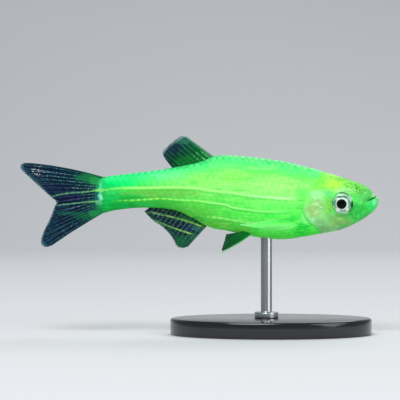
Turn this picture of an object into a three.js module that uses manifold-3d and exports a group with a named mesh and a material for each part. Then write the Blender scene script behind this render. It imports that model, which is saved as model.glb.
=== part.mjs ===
// Zebra danio of a green fluorescent strain, life size, on a plain display stand.
// Units are millimetres. +X is the way the fish faces, +Y its left side, +Z up.
// The origin is on the floor, under the middle of the fish's whole length.
// Every profile below is measured back from the tip of the lower jaw, and up or down
// from the level line through the fish that lies AXIS_HEIGHT above the floor.

import * as THREE from "three";
import { LoftGeometry } from "three/addons/geometries/LoftGeometry.js";
import { mergeVertices } from "three/addons/utils/BufferGeometryUtils.js";
import Module from "manifold-3d";

const wasm = await Module();
wasm.setup();

// Driving sizes
const TOTAL_LENGTH = 48; // lower jaw to the tip of the upper tail lobe
const BODY_LENGTH = 37.1; // lower jaw to the end of the tail stalk
const AXIS_HEIGHT = 18; // the fish's level line above the floor
const SNOUT_X = TOTAL_LENGTH / 2;
const GAP = 0.3; // clearance between neighbouring pieces
const SMALLEST_DETAIL = 0.006; // facets that differ by less than this are joined

// Outline of the body in side view, as [distance back from the jaw tip, height]
const BACK_LINE = [
  [0, -0.18],
  [0.75, 0.95],
  [1.7, 1.7],
  [2.9, 2.45],
  [6.5, 3.62],
  [12.9, 5.23],
  [18.3, 5.9],
  [21.7, 5.97],
  [23.4, 5.3],
  [25.1, 4.82],
  [29.2, 4.1],
  [33.9, 3.5],
  [BODY_LENGTH, 3.12],
];
const BELLY_LINE = [
  [0, -0.22],
  [0.9, -1.75],
  [2.5, -2.9],
  [4.9, -3.98],
  [9, -4.8],
  [12.9, -5.3],
  [16.2, -5.03],
  [20.2, -4.15],
  [22.6, -3.72],
  [24.9, -2.45],
  [27.3, -1.38],
  [31.4, -1.07],
  [35, -1.36],
  [BODY_LENGTH, -1.85],
];
// Half the body's width in top view, as [distance back, half-width]
const HALF_WIDTHS = [
  [0, 0],
  [0.9, 0.98],
  [2.5, 1.62],
  [5, 2.12],
  [8.2, 2.52],
  [12, 2.8],
  [16.5, 2.85],
  [21, 2.58],
  [27, 1.78],
  [33, 1.12],
  [BODY_LENGTH, 0.55],
];
const WIDEST_LEVEL = 0.53; // where the section is widest, up from the belly
const BACK_ROUNDNESS = 2.15; // exponent of the section's upper half, 2 being an ellipse
const BELLY_ROUNDNESS = 1.95;
const RING_SIDES = 36;
const RING_COUNT = 44;
const RING_CROWDING = 0.45; // how much of the rings' spacing closes up towards the snout
const FIRST_RING = 0.004; // distance back of the first ring

// A smooth curve through points of rising first value: cubic pieces that share a slope at each point.
// Both values are read in terms of the root of the distance, which rounds the snout.
function profile(points) {
  const at = points.map(([distance]) => Math.sqrt(distance));
  const value = points.map(([, height]) => height);
  const last = points.length - 1;
  const slope = (a, b) => (value[b] - value[a]) / (at[b] - at[a]);
  const slopes = points.map((_, i) => slope(Math.max(i - 1, 0), Math.min(i + 1, last)));
  return (distance) => {
    const t = Math.sqrt(Math.max(distance, 0));
    let i = 0;
    while (i < last - 1 && t > at[i + 1]) i++;
    const span = at[i + 1] - at[i];
    const s = (t - at[i]) / span;
    const from = value[i] * (2 * s ** 3 - 3 * s ** 2 + 1) + span * slopes[i] * (s ** 3 - 2 * s ** 2 + s);
    return from + value[i + 1] * (3 * s ** 2 - 2 * s ** 3) + span * slopes[i + 1] * (s ** 3 - s ** 2);
  };
}

const backAt = profile(BACK_LINE);
const bellyAt = profile(BELLY_LINE);
const halfWidthAt = profile(HALF_WIDTHS);

// The section of the body at a distance back, grown all round by an offset
function sectionAt(distance, offset = 0) {
  const top = backAt(distance) + offset;
  const bottom = bellyAt(distance) - offset;
  const level = bottom + (top - bottom) * WIDEST_LEVEL;
  return { level, up: top - level, down: level - bottom, side: halfWidthAt(distance) + offset };
}

const place = (distance, y, height) => new THREE.Vector3(SNOUT_X - distance, y, AXIS_HEIGHT + height);

// How far out from the mid-plane the skin lies at a distance back and a height
function skinAt(distance, height) {
  const s = sectionAt(distance);
  const above = height > s.level;
  const power = above ? BACK_ROUNDNESS : BELLY_ROUNDNESS;
  const share = Math.min(Math.abs(height - s.level) / (above ? s.up : s.down), 1);
  return s.side * (1 - share ** power) ** (1 / power);
}

function ringOf(distance, offset) {
  const s = sectionAt(distance, offset);
  return Array.from({ length: RING_SIDES }, (_, i) => {
    const angle = (i / RING_SIDES) * 2 * Math.PI;
    const [c, z] = [Math.cos(angle), Math.sin(angle)];
    const power = 2 / (z > 0 ? BACK_ROUNDNESS : BELLY_ROUNDNESS);
    const reach = z > 0 ? s.up : s.down;
    return place(
      distance,
      -s.side * Math.sign(c) * Math.abs(c) ** power,
      s.level + reach * Math.sign(z) * Math.abs(z) ** power,
    );
  });
}

// The body between two distances back, as one closed skin, grown by an offset
function bodyGeometry(from, to, offset = 0, rings = RING_COUNT) {
  const sections = [];
  for (let i = 0; i <= rings; i++) {
    const share = i / rings;
    const spaced = RING_CROWDING * share ** 2 + (1 - RING_CROWDING) * share;
    sections.push(ringOf(from + (to - from) * spaced, offset));
  }
  return new LoftGeometry(sections, { capStart: true, capEnd: true });
}

// A three.js geometry as a solid for joining and cutting
const MERGE_DISTANCE = 1e-4;
function solid(geometry) {
  const bare = new THREE.BufferGeometry();
  bare.setAttribute("position", geometry.getAttribute("position"));
  bare.setIndex(geometry.getIndex());
  const merged = mergeVertices(bare, MERGE_DISTANCE);
  const corners = merged.index.array;
  const kept = [];
  for (let i = 0; i < corners.length; i += 3) {
    const [a, b, c] = corners.slice(i, i + 3);
    if (a !== b && b !== c && c !== a) kept.push(a, b, c);
  }
  const turned = (order) => new wasm.Manifold(new wasm.Mesh({
    numProp: 3,
    vertProperties: merged.attributes.position.array,
    triVerts: new Uint32Array(order),
  }));
  const made = turned(kept);
  return made.volume() > 0 ? made : turned(kept.reverse());
}

const largest = (piece) => piece.decompose().sort((a, b) => b.volume() - a.volume())[0];

// A flat outline in side view, given as [distance back, height], pushed through from y = low to y = high
function prism(outline, low, high) {
  const corners = outline.map(([distance, height]) => new THREE.Vector2(SNOUT_X - distance, height));
  const shape = new THREE.Shape(corners);
  const geometry = new THREE.ExtrudeGeometry(shape, { depth: high - low, bevelEnabled: false });
  geometry.rotateX(Math.PI / 2);
  geometry.translate(0, high, AXIS_HEIGHT);
  return solid(geometry);
}

// A thin sheet along a line in side view, right across the fish, which parts the body where it passes
const CUT_REACH = 6;
function cut(line) {
  const points = line.map(([distance, height]) => new THREE.Vector2(distance, height));
  const side = (sign) => points.map((p, i) => {
    const before = points[Math.max(i - 1, 0)];
    const after = points[Math.min(i + 1, points.length - 1)];
    const along = after.clone().sub(before).normalize();
    return [p.x - (sign * along.y * GAP) / 2, p.y + (sign * along.x * GAP) / 2];
  });
  return prism([...side(1), ...side(-1).reverse()], -CUT_REACH, CUT_REACH);
}

const smoothLine = (points, steps) => new THREE.SplineCurve(points.map((p) => new THREE.Vector2(...p)))
  .getPoints(steps)
  .map((p) => [p.x, p.y]);

// Where the body is parted, as lines in side view
const GILL_OPENING = smoothLine([
  [6.9, 6],
  [8.1, 3.3],
  [9.2, 1.9],
  [10.15, 0.6],
  [10.45, -0.8],
  [10.1, -2.1],
  [9.2, -3.3],
  [8, -4.2],
  [6.8, -6],
], 20);
const MOUTH_CORNER = [2.05, -0.62];
const MOUTH_LINE = [[-0.3, 0.45], [0.4, 0.3], [1.2, 0], MOUTH_CORNER];
const JAW_BACK = [MOUTH_CORNER, [2.75, -1.7], [3.7, -2.8], [4.9, -4.6]];
const TRUNK_PART = 20.3;
const STALK_PART = 30.8;

const UPRIGHT_REACH = 7; // how far up and down an upright cut runs

const body = solid(bodyGeometry(FIRST_RING, BODY_LENGTH));
const grownBody = solid(bodyGeometry(FIRST_RING, BODY_LENGTH + GAP, GAP));

function uprightCut(distance) {
  return cut([[distance, -UPRIGHT_REACH], [distance, UPRIGHT_REACH]]);
}

// The eyes
const EYE_BACK = 5;
const EYE_HEIGHT = -0.48;
const EYE_RADIUS = 1.6;
const EYE_DEPTH = 1.05; // half the eyeball's thickness
const EYE_OUT = 1.54; // its middle from the mid-plane
const EYE_STEPS = 12;
const EYE_SIDES = 24;
const PUPIL_RADIUS = 0.68;
const LENS_BULGE = 0.16;

function eyeball(side, grow = 0) {
  const profilePoints = [];
  for (let i = 0; i <= EYE_STEPS; i++) {
    const angle = (i / EYE_STEPS) * Math.PI - Math.PI / 2;
    const radius = i === 0 || i === EYE_STEPS ? 0 : (EYE_RADIUS + grow) * Math.cos(angle);
    const lens = grow || angle < 0 ? 0 : LENS_BULGE * Math.max(0, 1 - (radius / PUPIL_RADIUS) ** 2);
    profilePoints.push(new THREE.Vector2(radius, (EYE_DEPTH + grow) * Math.sin(angle) + lens));
  }
  const geometry = new THREE.LatheGeometry(profilePoints, EYE_SIDES);
  if (side < 0) geometry.rotateX(Math.PI);
  const centre = place(EYE_BACK, side * EYE_OUT, EYE_HEIGHT);
  geometry.translate(centre.x, centre.y, centre.z);
  return solid(geometry);
}

// The gill covers: plates of the skin's own curve, each let into the side of the head
const PLATE_THICKNESS = 0.6;
const PLATE_INNER = 0.2; // least distance of a plate from the mid-plane
const PLATE_FROM = 4.6; // the stretch of body whose curve the plates are cut from
const PLATE_TO = 13;
const PLATE_RINGS = 14;
const PLATE_WINDOW = smoothLine([
  [12, 1.95],
  [9.4, 1.9],
  [8, 1.75],
  [7.35, 1.1],
  [7.35, -0.6],
  [7.2, -2],
  [6.4, -3.3],
  [5.9, -4],
  [7.6, -4.35],
  [12, -4.3],
], 30);
const PLATE_RECESS = smoothLine([
  [12, 2.25],
  [9.3, 2.2],
  [7.8, 2.05],
  [7.05, 1.3],
  [7.05, -0.55],
  [6.9, -1.9],
  [6.15, -3.15],
  [5.5, -4.1],
  [7.5, -4.65],
  [12, -4.6],
], 30);

function shellUnder(window, side, thickness) {
  const inner = solid(bodyGeometry(PLATE_FROM, PLATE_TO, -thickness, PLATE_RINGS));
  const [low, high] = side > 0 ? [PLATE_INNER, CUT_REACH] : [-CUT_REACH, -PLATE_INNER];
  return prism(window, low, high).subtract(inner);
}

// A round rod along a smooth line of points, closed at both ends.
// radiusAt gives its radius at each share of its length.
function roundRod(points, radiusAt, steps, sides) {
  const line = new THREE.CatmullRomCurve3(points);
  const frames = line.computeFrenetFrames(steps, false);
  const sections = [];
  for (let i = 0; i <= steps; i++) {
    const radius = radiusAt(i / steps);
    const centre = line.getPointAt(i / steps);
    sections.push(Array.from({ length: sides }, (_, k) => {
      const angle = (k / sides) * 2 * Math.PI;
      return centre.clone()
        .addScaledVector(frames.normals[i], radius * Math.cos(angle))
        .addScaledVector(frames.binormals[i], radius * Math.sin(angle));
    }));
  }
  return solid(new LoftGeometry(sections, { capStart: true, capEnd: true }));
}

// The lips run just above and below the mouth line, from one corner round the front to the other.
// Each is given in side view from the corner to the front, as [distance back, height].
const LIP_RADIUS = 0.18;
const LIP_CORNER_RADIUS = 0.07;
const LIP_SINK = 0.09; // how deep a lip's middle lies under the skin
const LIP_STEPS = 16;
const LIP_SIDES = 8;
const UPPER_LIP = [[2, -0.27], [1.6, 0.02], [1.15, 0.3], [0.8, 0.48], [0.62, 0.55]];
const LOWER_LIP = [[2, -1.05], [1.5, -0.62], [1, -0.33], [0.55, -0.12], [0.24, 0.02]];

function lip(points) {
  const front = points.length - 1;
  const half = (side) => points.slice(0, front)
    .map(([distance, height]) => place(distance, side * (skinAt(distance, height) - LIP_SINK), height));
  const [distance, height] = points[front];
  const line = [...half(-1), place(distance, 0, height), ...half(1).reverse()];
  const fullness = LIP_RADIUS - LIP_CORNER_RADIUS;
  const swell = (share) => LIP_CORNER_RADIUS + fullness * Math.sqrt(Math.sin(Math.PI * share));
  return roundRod(line, (share) => (share < 1 ? swell(share) : LIP_CORNER_RADIUS), LIP_STEPS, LIP_SIDES);
}

// The nostrils: a low rim on the snout with a pit in it. How far out the middle of each lies
// is a share of the skin's own distance from the mid-plane.
const NOSTRIL = { back: 2.75, height: 1.3, rim: 0.42, rimOut: 0.82, pit: 0.24, pitOut: 1.1, pitUp: 0.08 };
const BALL_SIDES = 12;
const BALL_ROWS = 10;
function ballAt(distance, out, height, radius) {
  const ball = new THREE.SphereGeometry(radius, BALL_SIDES, BALL_ROWS);
  const centre = place(distance, out, height);
  ball.translate(centre.x, centre.y, centre.z);
  return solid(ball);
}

// A fin: rays that fan from a root line to a margin line, with the membrane between them.
// Root and margin are lists of [distance back, out from the mid-plane, height], and they run
// from the leading ray to the last. Each ray stands as a ridge on both faces.
// bow is how far the leading and the last ray bend off the straight half-way along.
const STRAIGHT = [[0, 0, 0], [0, 0, 0]];
const ROOT_HALF = 0.34; // half a fin's thickness at its root and at its margin
const TIP_HALF = 0.14;
const RIDGE = 0.11; // how far a ray stands off the membrane at the root
const RIDGE_FADE = 0.6; // how much of that is gone at the margin
const RAY_WIDTH = 0.24; // from a ray's crest to its foot, in spacings of the rays
const MEMBRANE_REACH = 0.985; // the membrane ends a little short of the ray tips

function finSolid({ root, margin, rays, rows, bow = STRAIGHT, rootHalf = ROOT_HALF, side = 1 }) {
  const curve = (list) => new THREE.CatmullRomCurve3(list.map(([d, out, h]) => place(d, side * out, h)));
  const rootLine = curve(root);
  const marginLine = curve(margin);
  const columns = [0];
  for (let i = 0; i < rays - 1; i++) columns.push(i + RAY_WIDTH, i + 1 - RAY_WIDTH, i + 1);
  const crest = (column) => (Number.isInteger(column) ? 1 : 0);
  const middle = rootLine.getPointAt(0.5);
  const across = rootLine.getPointAt(1).sub(rootLine.getPointAt(0));
  const along = marginLine.getPointAt(0.5).sub(middle);
  const face = new THREE.Vector3().crossVectors(across, along).normalize();
  const [leadingBow, lastBow] = bow.map(([ahead, out, up]) => new THREE.Vector3(ahead, side * out, up));
  const positions = [];
  const index = [];
  const width = columns.length;
  for (const sign of [1, -1]) {
    for (let r = 0; r <= rows; r++) {
      const u = r / rows;
      for (const column of columns) {
        const v = column / (rays - 1);
        const from = rootLine.getPointAt(v);
        const to = marginLine.getPointAt(v);
        const reach = crest(column) ? 1 : MEMBRANE_REACH;
        const point = from.clone().lerp(to, u * reach);
        point.addScaledVector(leadingBow.clone().lerp(lastBow, v), 4 * u * (1 - u));
        const membrane = rootHalf + (TIP_HALF - rootHalf) * Math.sqrt(u);
        const ridge = RIDGE * crest(column) * (1 - RIDGE_FADE * u);
        point.addScaledVector(face, sign * (membrane + ridge));
        positions.push(point.x, point.y, point.z);
      }
    }
  }
  const layer = width * (rows + 1);
  const quad = (a, b, c, d) => index.push(a, b, c, a, c, d);
  for (let r = 0; r < rows; r++) {
    for (let k = 0; k < width - 1; k++) {
      const a = r * width + k;
      const [b, c, d] = [a + 1, a + width + 1, a + width];
      quad(a, b, c, d);
      quad(layer + a, layer + d, layer + c, layer + b);
    }
  }
  const wall = (a, b) => quad(b, a, layer + a, layer + b);
  for (let k = 0; k < width - 1; k++) {
    wall(k, k + 1);
    wall(rows * width + k + 1, rows * width + k);
  }
  for (let r = 0; r < rows; r++) {
    wall((r + 1) * width, r * width);
    wall(r * width + width - 1, (r + 1) * width + width - 1);
  }
  const geometry = new THREE.BufferGeometry();
  geometry.setAttribute("position", new THREE.Float32BufferAttribute(positions, 3));
  geometry.setIndex(index);
  return largest(solid(geometry).subtract(grownBody));
}

const TAIL_ROOT = BODY_LENGTH - 0.4;
const TAIL_MIDDLE = 0.55; // height of the line that parts the two lobes, at the root
const FORK = [43.2, -0.28]; // distance back and height of the fork
const FINS = {
  dorsal_fin: {
    root: [[21.8, 0, 5.5], [24.5, 0, 4.5], [27.3, 0, 4]],
    margin: [[25.75, 0, 8.55], [26.7, 0, 8.45], [28.6, 0, 6.9], [28.9, 0, 6.15], [28.6, 0, 5.55]],
    rays: 10,
    rows: 5,
  },
  anal_fin: {
    root: [[22.9, 0, -3.4], [24.6, 0, -2.3], [26.9, 0, -1.1], [30.2, 0, -0.75]],
    margin: [[25.65, 0, -6.4], [26.5, 0, -6.45], [28, 0, -4.95], [30, 0, -3.05], [31.4, 0, -1.55]],
    rays: 14,
    rows: 5,
  },
  tail_fin_upper: {
    root: [[TAIL_ROOT, 0, 2.95], [TAIL_ROOT, 0, TAIL_MIDDLE + GAP / 2]],
    margin: [
      [46.9, 0, 4.97],
      [47.75, 0, 4.9],
      [48.17, 0, 4.4],
      [47.6, 0, 3.75],
      [46, 0, 2.3],
      [FORK[0], 0, FORK[1] + GAP / 2],
    ],
    rays: 10,
    rows: 6,
    bow: [[0, 0, 0.3], [0, 0, 0]],
  },
  tail_fin_lower: {
    root: [[TAIL_ROOT, 0, TAIL_MIDDLE - GAP / 2], [TAIL_ROOT, 0, -1.65]],
    margin: [
      [FORK[0], 0, FORK[1] - GAP / 2],
      [44, 0, -2.4],
      [45, 0, -4.5],
      [45.28, 0, -5.6],
      [45, 0, -6.2],
      [44.4, 0, -6.33],
      [43.8, 0, -6.12],
    ],
    rays: 10,
    rows: 6,
    bow: [[0, 0, 0], [0, 0, 0.12]],
  },
};
const PELVIC_FIN = {
  root: [[16.8, 0.85, -4.5], [18.1, 1, -4.3]],
  margin: [[20.95, 1.75, -7.05], [20.95, 1.72, -6.6], [20.6, 1.62, -5.5], [20.4, 1.5, -4.65]],
  rays: 7,
  rows: 5,
  bow: [[0, 0, -0.22], [0, 0, 0]],
  rootHalf: 0.3,
};
// These points are given as [distance back, height, distance out from the skin]
const offSkin = (points) => points.map(([d, height, off]) => [d, skinAt(d, height) + off, height]);
const PECTORAL_FIN = {
  root: offSkin([[10.75, -2.3, -0.35], [10.7, -3.3, -0.35]]),
  margin: offSkin([[18.7, -3.3, 2.1], [17, -3.5, 1.8], [14.2, -3.68, 1.25], [12.3, -3.72, 0.8]]),
  rays: 10,
  rows: 5,
  bow: [[0, 0.42, 0.16], [0, 0.42, 0.05]],
  rootHalf: 0.3,
};

// The barbels, as points from the root outwards: [distance back, out from the mid-plane, height]
const BARBELS = {
  barbel_snout: [[1.15, 0.5, 0.95], [1.3, 1.2, 0.85], [1.75, 1.8, 0.55], [2.5, 2.25, 0.3]],
  barbel_jaw: [[2.3, 1.1, -0.75], [2.7, 2.05, -1.35], [3.7, 2.45, -2.1], [4.9, 2.6, -2.75]],
};
const BARBEL_ROOT = 0.24; // radius
const BARBEL_TIP = 0.1;
const BARBEL_STEPS = 7;
const BARBEL_SIDES = 8;

// The stand: a flat oval base with one rod up to the belly
const ROD = { back: 15, radius: 0.75, top: AXIS_HEIGHT - 2, foot: 1.6, footHeight: 0.5, sides: 24 };
const BASE = { centre: 14.4, halfLength: 13.5, halfWidth: 9, height: 2.2, bevel: 0.3, curveSteps: 28 };

function baseGeometry() {
  const outline = new THREE.Shape();
  const { halfLength, halfWidth, bevel } = BASE;
  outline.absellipse(0, 0, halfLength - bevel, halfWidth - bevel, 0, 2 * Math.PI, false, 0);
  const geometry = new THREE.ExtrudeGeometry(outline, {
    depth: BASE.height - 2 * bevel,
    bevelThickness: bevel,
    bevelSize: bevel,
    bevelSegments: 1,
    curveSegments: BASE.curveSteps,
  });
  geometry.translate(SNOUT_X - BASE.centre, 0, bevel);
  return geometry;
}

function rodSolid() {
  const x = SNOUT_X - ROD.back;
  const bottom = BASE.height + GAP;
  const shaft = new THREE.CylinderGeometry(ROD.radius, ROD.radius, ROD.top - bottom, ROD.sides);
  shaft.rotateX(Math.PI / 2);
  shaft.translate(x, 0, (ROD.top + bottom) / 2);
  const foot = new THREE.CylinderGeometry(ROD.foot, ROD.foot, ROD.footHeight, ROD.sides);
  foot.rotateX(Math.PI / 2);
  foot.translate(x, 0, bottom + ROD.footHeight / 2);
  return largest(solid(shaft).add(solid(foot)).subtract(grownBody));
}

// Finishes
const COLOURS = {
  skin: ["#6ff56a", 0.45, 0],
  gill: ["#9af08c", 0.4, 0.1],
  eye: ["#cfe8dc", 0.15, 0.2],
  fin: ["#17413f", 0.35, 0],
  barbel: ["#5fd870", 0.45, 0],
  base: ["#1b1d20", 0.35, 0],
  rod: ["#b9bdc2", 0.3, 1],
};

const fish = new THREE.Group();
fish.name = "zebra_danio";

function add(name, piece, finish) {
  const { numProp, vertProperties, triVerts } = piece.simplify(SMALLEST_DETAIL).getMesh();
  const positions = new Float32Array((vertProperties.length / numProp) * 3);
  for (let i = 0; i < positions.length / 3; i++) {
    positions.set(vertProperties.subarray(i * numProp, i * numProp + 3), i * 3);
  }
  const geometry = new THREE.BufferGeometry();
  geometry.setAttribute("position", new THREE.BufferAttribute(positions, 3));
  geometry.setIndex(new THREE.BufferAttribute(triVerts, 1));
  geometry.computeVertexNormals();
  const [color, roughness, metalness] = COLOURS[finish];
  const mesh = new THREE.Mesh(geometry, new THREE.MeshStandardMaterial({ color, roughness, metalness }));
  mesh.name = name;
  fish.add(mesh);
}

const SIDES = { right: -1, left: 1 };

function buildBody() {
  const parted = [cut(GILL_OPENING), uprightCut(TRUNK_PART), uprightCut(STALK_PART)]
    .reduce((whole, sheet) => whole.subtract(sheet), body)
    .decompose()
    .sort((a, b) => b.boundingBox().max[0] - a.boundingBox().max[0]);
  const [wholeHead, trunkFront, trunkRear, stalk] = parted;
  let [head, jaw] = wholeHead.subtract(cut([...MOUTH_LINE, ...JAW_BACK.slice(1)]))
    .decompose()
    .sort((a, b) => b.volume() - a.volume());
  for (const [name, side] of Object.entries(SIDES)) {
    const plate = shellUnder(PLATE_WINDOW, side, PLATE_THICKNESS).intersect(wholeHead);
    add("gill_cover_" + name, largest(plate), "gill");
    add("eye_" + name, eyeball(side), "eye");
    head = head
      .subtract(shellUnder(PLATE_RECESS, side, PLATE_THICKNESS + GAP))
      .subtract(eyeball(side, GAP));
    const out = skinAt(NOSTRIL.back, NOSTRIL.height) * side;
    head = head.add(ballAt(NOSTRIL.back, out * NOSTRIL.rimOut, NOSTRIL.height, NOSTRIL.rim))
      .subtract(ballAt(NOSTRIL.back, out * NOSTRIL.pitOut, NOSTRIL.height + NOSTRIL.pitUp, NOSTRIL.pit));
  }
  add("head", largest(head.add(lip(UPPER_LIP))), "skin");
  add("lower_jaw", largest(jaw.add(lip(LOWER_LIP))), "skin");
  add("trunk_front", trunkFront, "skin");
  add("trunk_rear", trunkRear, "skin");
  add("tail_stalk", stalk, "skin");
}

function buildFins() {
  for (const [name, sizes] of Object.entries(FINS)) add(name, finSolid(sizes), "fin");
  for (const [name, side] of Object.entries(SIDES)) {
    add("pelvic_fin_" + name, finSolid({ ...PELVIC_FIN, side }), "fin");
    add("pectoral_fin_" + name, finSolid({ ...PECTORAL_FIN, side }), "fin");
  }
}

function buildBarbels() {
  for (const [kind, points] of Object.entries(BARBELS)) {
    for (const [name, side] of Object.entries(SIDES)) {
      const line = points.map(([distance, out, height]) => place(distance, side * out, height));
      const radiusAt = (share) => BARBEL_ROOT + (BARBEL_TIP - BARBEL_ROOT) * share;
      const barbel = roundRod(line, radiusAt, BARBEL_STEPS, BARBEL_SIDES);
      add(kind + "_" + name, largest(barbel.subtract(grownBody)), "barbel");
    }
  }
}

buildBody();
buildFins();
buildBarbels();
add("stand_base", solid(baseGeometry()), "base");
add("stand_rod", rodSolid(), "rod");

export default fish;
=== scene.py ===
import math
from functools import partial

import bpy
import numpy as np
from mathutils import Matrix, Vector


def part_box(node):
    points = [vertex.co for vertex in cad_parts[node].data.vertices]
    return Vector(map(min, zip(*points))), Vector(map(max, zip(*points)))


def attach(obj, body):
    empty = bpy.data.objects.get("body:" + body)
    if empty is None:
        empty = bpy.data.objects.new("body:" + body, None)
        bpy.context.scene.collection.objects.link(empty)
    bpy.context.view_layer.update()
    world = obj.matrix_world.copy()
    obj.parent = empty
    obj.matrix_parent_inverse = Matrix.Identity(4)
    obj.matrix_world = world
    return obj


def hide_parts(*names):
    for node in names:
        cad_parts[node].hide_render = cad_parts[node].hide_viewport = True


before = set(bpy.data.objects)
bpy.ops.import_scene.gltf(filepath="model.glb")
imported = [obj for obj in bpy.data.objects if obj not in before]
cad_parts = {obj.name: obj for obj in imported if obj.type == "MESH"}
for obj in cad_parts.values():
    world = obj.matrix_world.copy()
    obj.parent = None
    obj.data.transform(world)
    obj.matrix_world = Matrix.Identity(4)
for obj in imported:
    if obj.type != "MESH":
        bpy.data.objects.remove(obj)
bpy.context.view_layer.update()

# A green fluorescent zebra danio, life size, held over an oval base by a thin rod.
# Sizes are in millimetres until MM turns them into metres. The fish faces +X, its back is up.
# A place on the fish is given as its distance back from the tip of the lower jaw and its height
# above the level line through the fish, AXIS_HEIGHT over the floor.
MM = 0.001
TOTAL_LENGTH = 48
BODY_LENGTH = 37.1
AXIS_HEIGHT = 18
SNOUT_X = TOTAL_LENGTH / 2
SIDES = (("right", -1), ("left", 1))

BACK_LINE = [
    (0, -0.18), (0.75, 0.95), (1.7, 1.7), (2.9, 2.45), (6.5, 3.62), (12.9, 5.23), (18.3, 5.9),
    (21.7, 5.97), (23.4, 5.3), (25.1, 4.82), (29.2, 4.1), (33.9, 3.5), (BODY_LENGTH, 3.12),
]
BELLY_LINE = [
    (0, -0.22), (0.9, -1.75), (2.5, -2.9), (4.9, -3.98), (9, -4.8), (12.9, -5.3), (16.2, -5.03),
    (20.2, -4.15), (22.6, -3.72), (24.9, -2.45), (27.3, -1.38), (31.4, -1.07), (35, -1.36),
    (BODY_LENGTH, -1.85),
]
HALF_WIDTHS = [
    (0, 0), (0.9, 0.98), (2.5, 1.62), (5, 2.12), (8.2, 2.52), (12, 2.8), (16.5, 2.85), (21, 2.58),
    (27, 1.78), (33, 1.12), (BODY_LENGTH, 0.55),
]
SCALE_DEPTH = 0.07  # the skin lies this far inside the outline, and the scales stand on it

# Lines on the head in side view
GILL_OPENING = [
    (6.9, 6), (8.1, 3.3), (9.2, 1.9), (10.15, 0.6), (10.45, -0.8), (10.1, -2.1), (9.2, -3.3),
    (8, -4.2), (6.8, -6),
]
MOUTH_LINE = [(-0.3, 0.46), (0.4, 0.34), (1, 0.12), (1.6, -0.18)]
JAW_BACK = [(2.05, -0.62), (2.75, -1.7), (3.7, -2.8), (4.6, -3.7)]
CHEEK_EDGE = [(8.3, 1.85), (7.55, 1.45), (7.3, 0.6), (7.3, -0.6), (7.15, -2), (6.4, -3.25), (5.6, -4.1)]
LOWER_PLATE_EDGE = [(9.6, -2.75), (8.3, -3), (7.1, -3.35), (6.2, -3.75)]
NOSTRILS = [(2.55, 1.2, 0.17), (3, 1.5, 0.2)]  # distance back, height, radius
EYE = {"back": 5, "height": -0.48, "radius": 1.6, "depth": 1.05, "out": 1.54, "length_share": 0.96}
PUPIL = {"back": 5.14, "height": -0.54, "radius": 0.66, "bulge": 0.1, "bulge_reach": 1.2}

CURVE_STEPS = 24  # samples between two points of a smooth curve
LINE_STEPS = 60


def place(distance, out, height):
    return (SNOUT_X - distance) * MM, out * MM, (AXIS_HEIGHT + height) * MM


def profile(points):
    """A smooth curve through (distance, value) points, read in terms of the distance's root."""
    at = np.sqrt([p[0] for p in points])
    value = np.array([p[1] for p in points], float)
    ends = [0, *range(len(at)), len(at) - 1]
    slopes = np.array([
        (value[after] - value[before]) / (at[after] - at[before])
        for before, after in zip(ends[:-2], ends[2:])
    ])

    def read(distance):
        t = np.sqrt(np.maximum(distance, 0))
        i = np.clip(np.searchsorted(at, t) - 1, 0, len(at) - 2)
        span = at[i + 1] - at[i]
        s = (t - at[i]) / span
        near = value[i] * (2 * s**3 - 3 * s**2 + 1) + span * slopes[i] * (s**3 - 2 * s**2 + s)
        return near + value[i + 1] * (3 * s**2 - 2 * s**3) + span * slopes[i + 1] * (s**3 - s**2)

    return read


back_at = profile(BACK_LINE)
belly_at = profile(BELLY_LINE)
half_width_at = profile(HALF_WIDTHS)


def body_ring(distance):
    """Middle height, half-width and half-height of the skin at a distance back."""
    along = min(distance, BODY_LENGTH)
    inset = SCALE_DEPTH * min(1, along / 2)
    top, bottom = back_at(along) - inset, belly_at(along) + inset
    return (top + bottom) / 2, half_width_at(along) - inset, (top - bottom) / 2


def smooth_curve(points, count):
    """Places evenly spaced along a smooth curve through the given points."""
    points = np.array(points, float)
    padded = np.vstack([2 * points[0] - points[1], points, 2 * points[-1] - points[-2]])
    t = np.linspace(0, 1, CURVE_STEPS, endpoint=False)[:, None]
    pieces = [
        b + 0.5 * ((c - a) * t + (2 * a - 5 * b + 4 * c - d) * t**2 + (3 * b - a - 3 * c + d) * t**3)
        for a, b, c, d in zip(padded, padded[1:], padded[2:], padded[3:])
    ]
    line = np.vstack([*pieces, points[-1:]])
    travelled = np.r_[0, np.cumsum(np.linalg.norm(np.diff(line, axis=0), axis=1))]
    at = np.linspace(0, travelled[-1], count)
    return np.column_stack([np.interp(at, travelled, line[:, k]) for k in range(line.shape[1])])


def line_distance(places, points):
    """How far each (distance, height) place lies from a line in side view, signed by its side of it,
    and how far along the line the nearest point is, from 0 to 1. The sign is + on the tail side of a
    line that runs down, and above a line that runs back."""
    line = smooth_curve(points, LINE_STEPS)
    start, step = line[:-1], np.diff(line, axis=0)
    best = np.full(len(places), np.inf)
    signed = np.zeros(len(places))
    share = np.zeros(len(places))
    for i, (a, d) in enumerate(zip(start, step)):
        t = np.clip(((places - a) @ d) / (d @ d), 0, 1)
        off = places - a - t[:, None] * d
        away = np.hypot(off[:, 0], off[:, 1])
        side = np.sign(d[0] * (places[:, 1] - a[1]) - d[1] * (places[:, 0] - a[0]))
        nearer = away < best
        best = np.where(nearer, away, best)
        signed = np.where(nearer, away * side, signed)
        share = np.where(nearer, (i + t) / len(start), share)
    return signed, share


def soft_step(value, low, high):
    t = np.clip((value - low) / (high - low), 0, 1)
    return t * t * (3 - 2 * t)


def swell(value, width):
    return np.exp(-((value / width) ** 2))


def nothing_selected():
    if bpy.context.object and bpy.context.object.mode != "OBJECT":
        bpy.ops.object.mode_set(mode="OBJECT")
    bpy.ops.object.select_all(action="DESELECT")


def select_only(piece):
    nothing_selected()
    piece.select_set(True)
    bpy.context.view_layer.objects.active = piece


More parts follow.
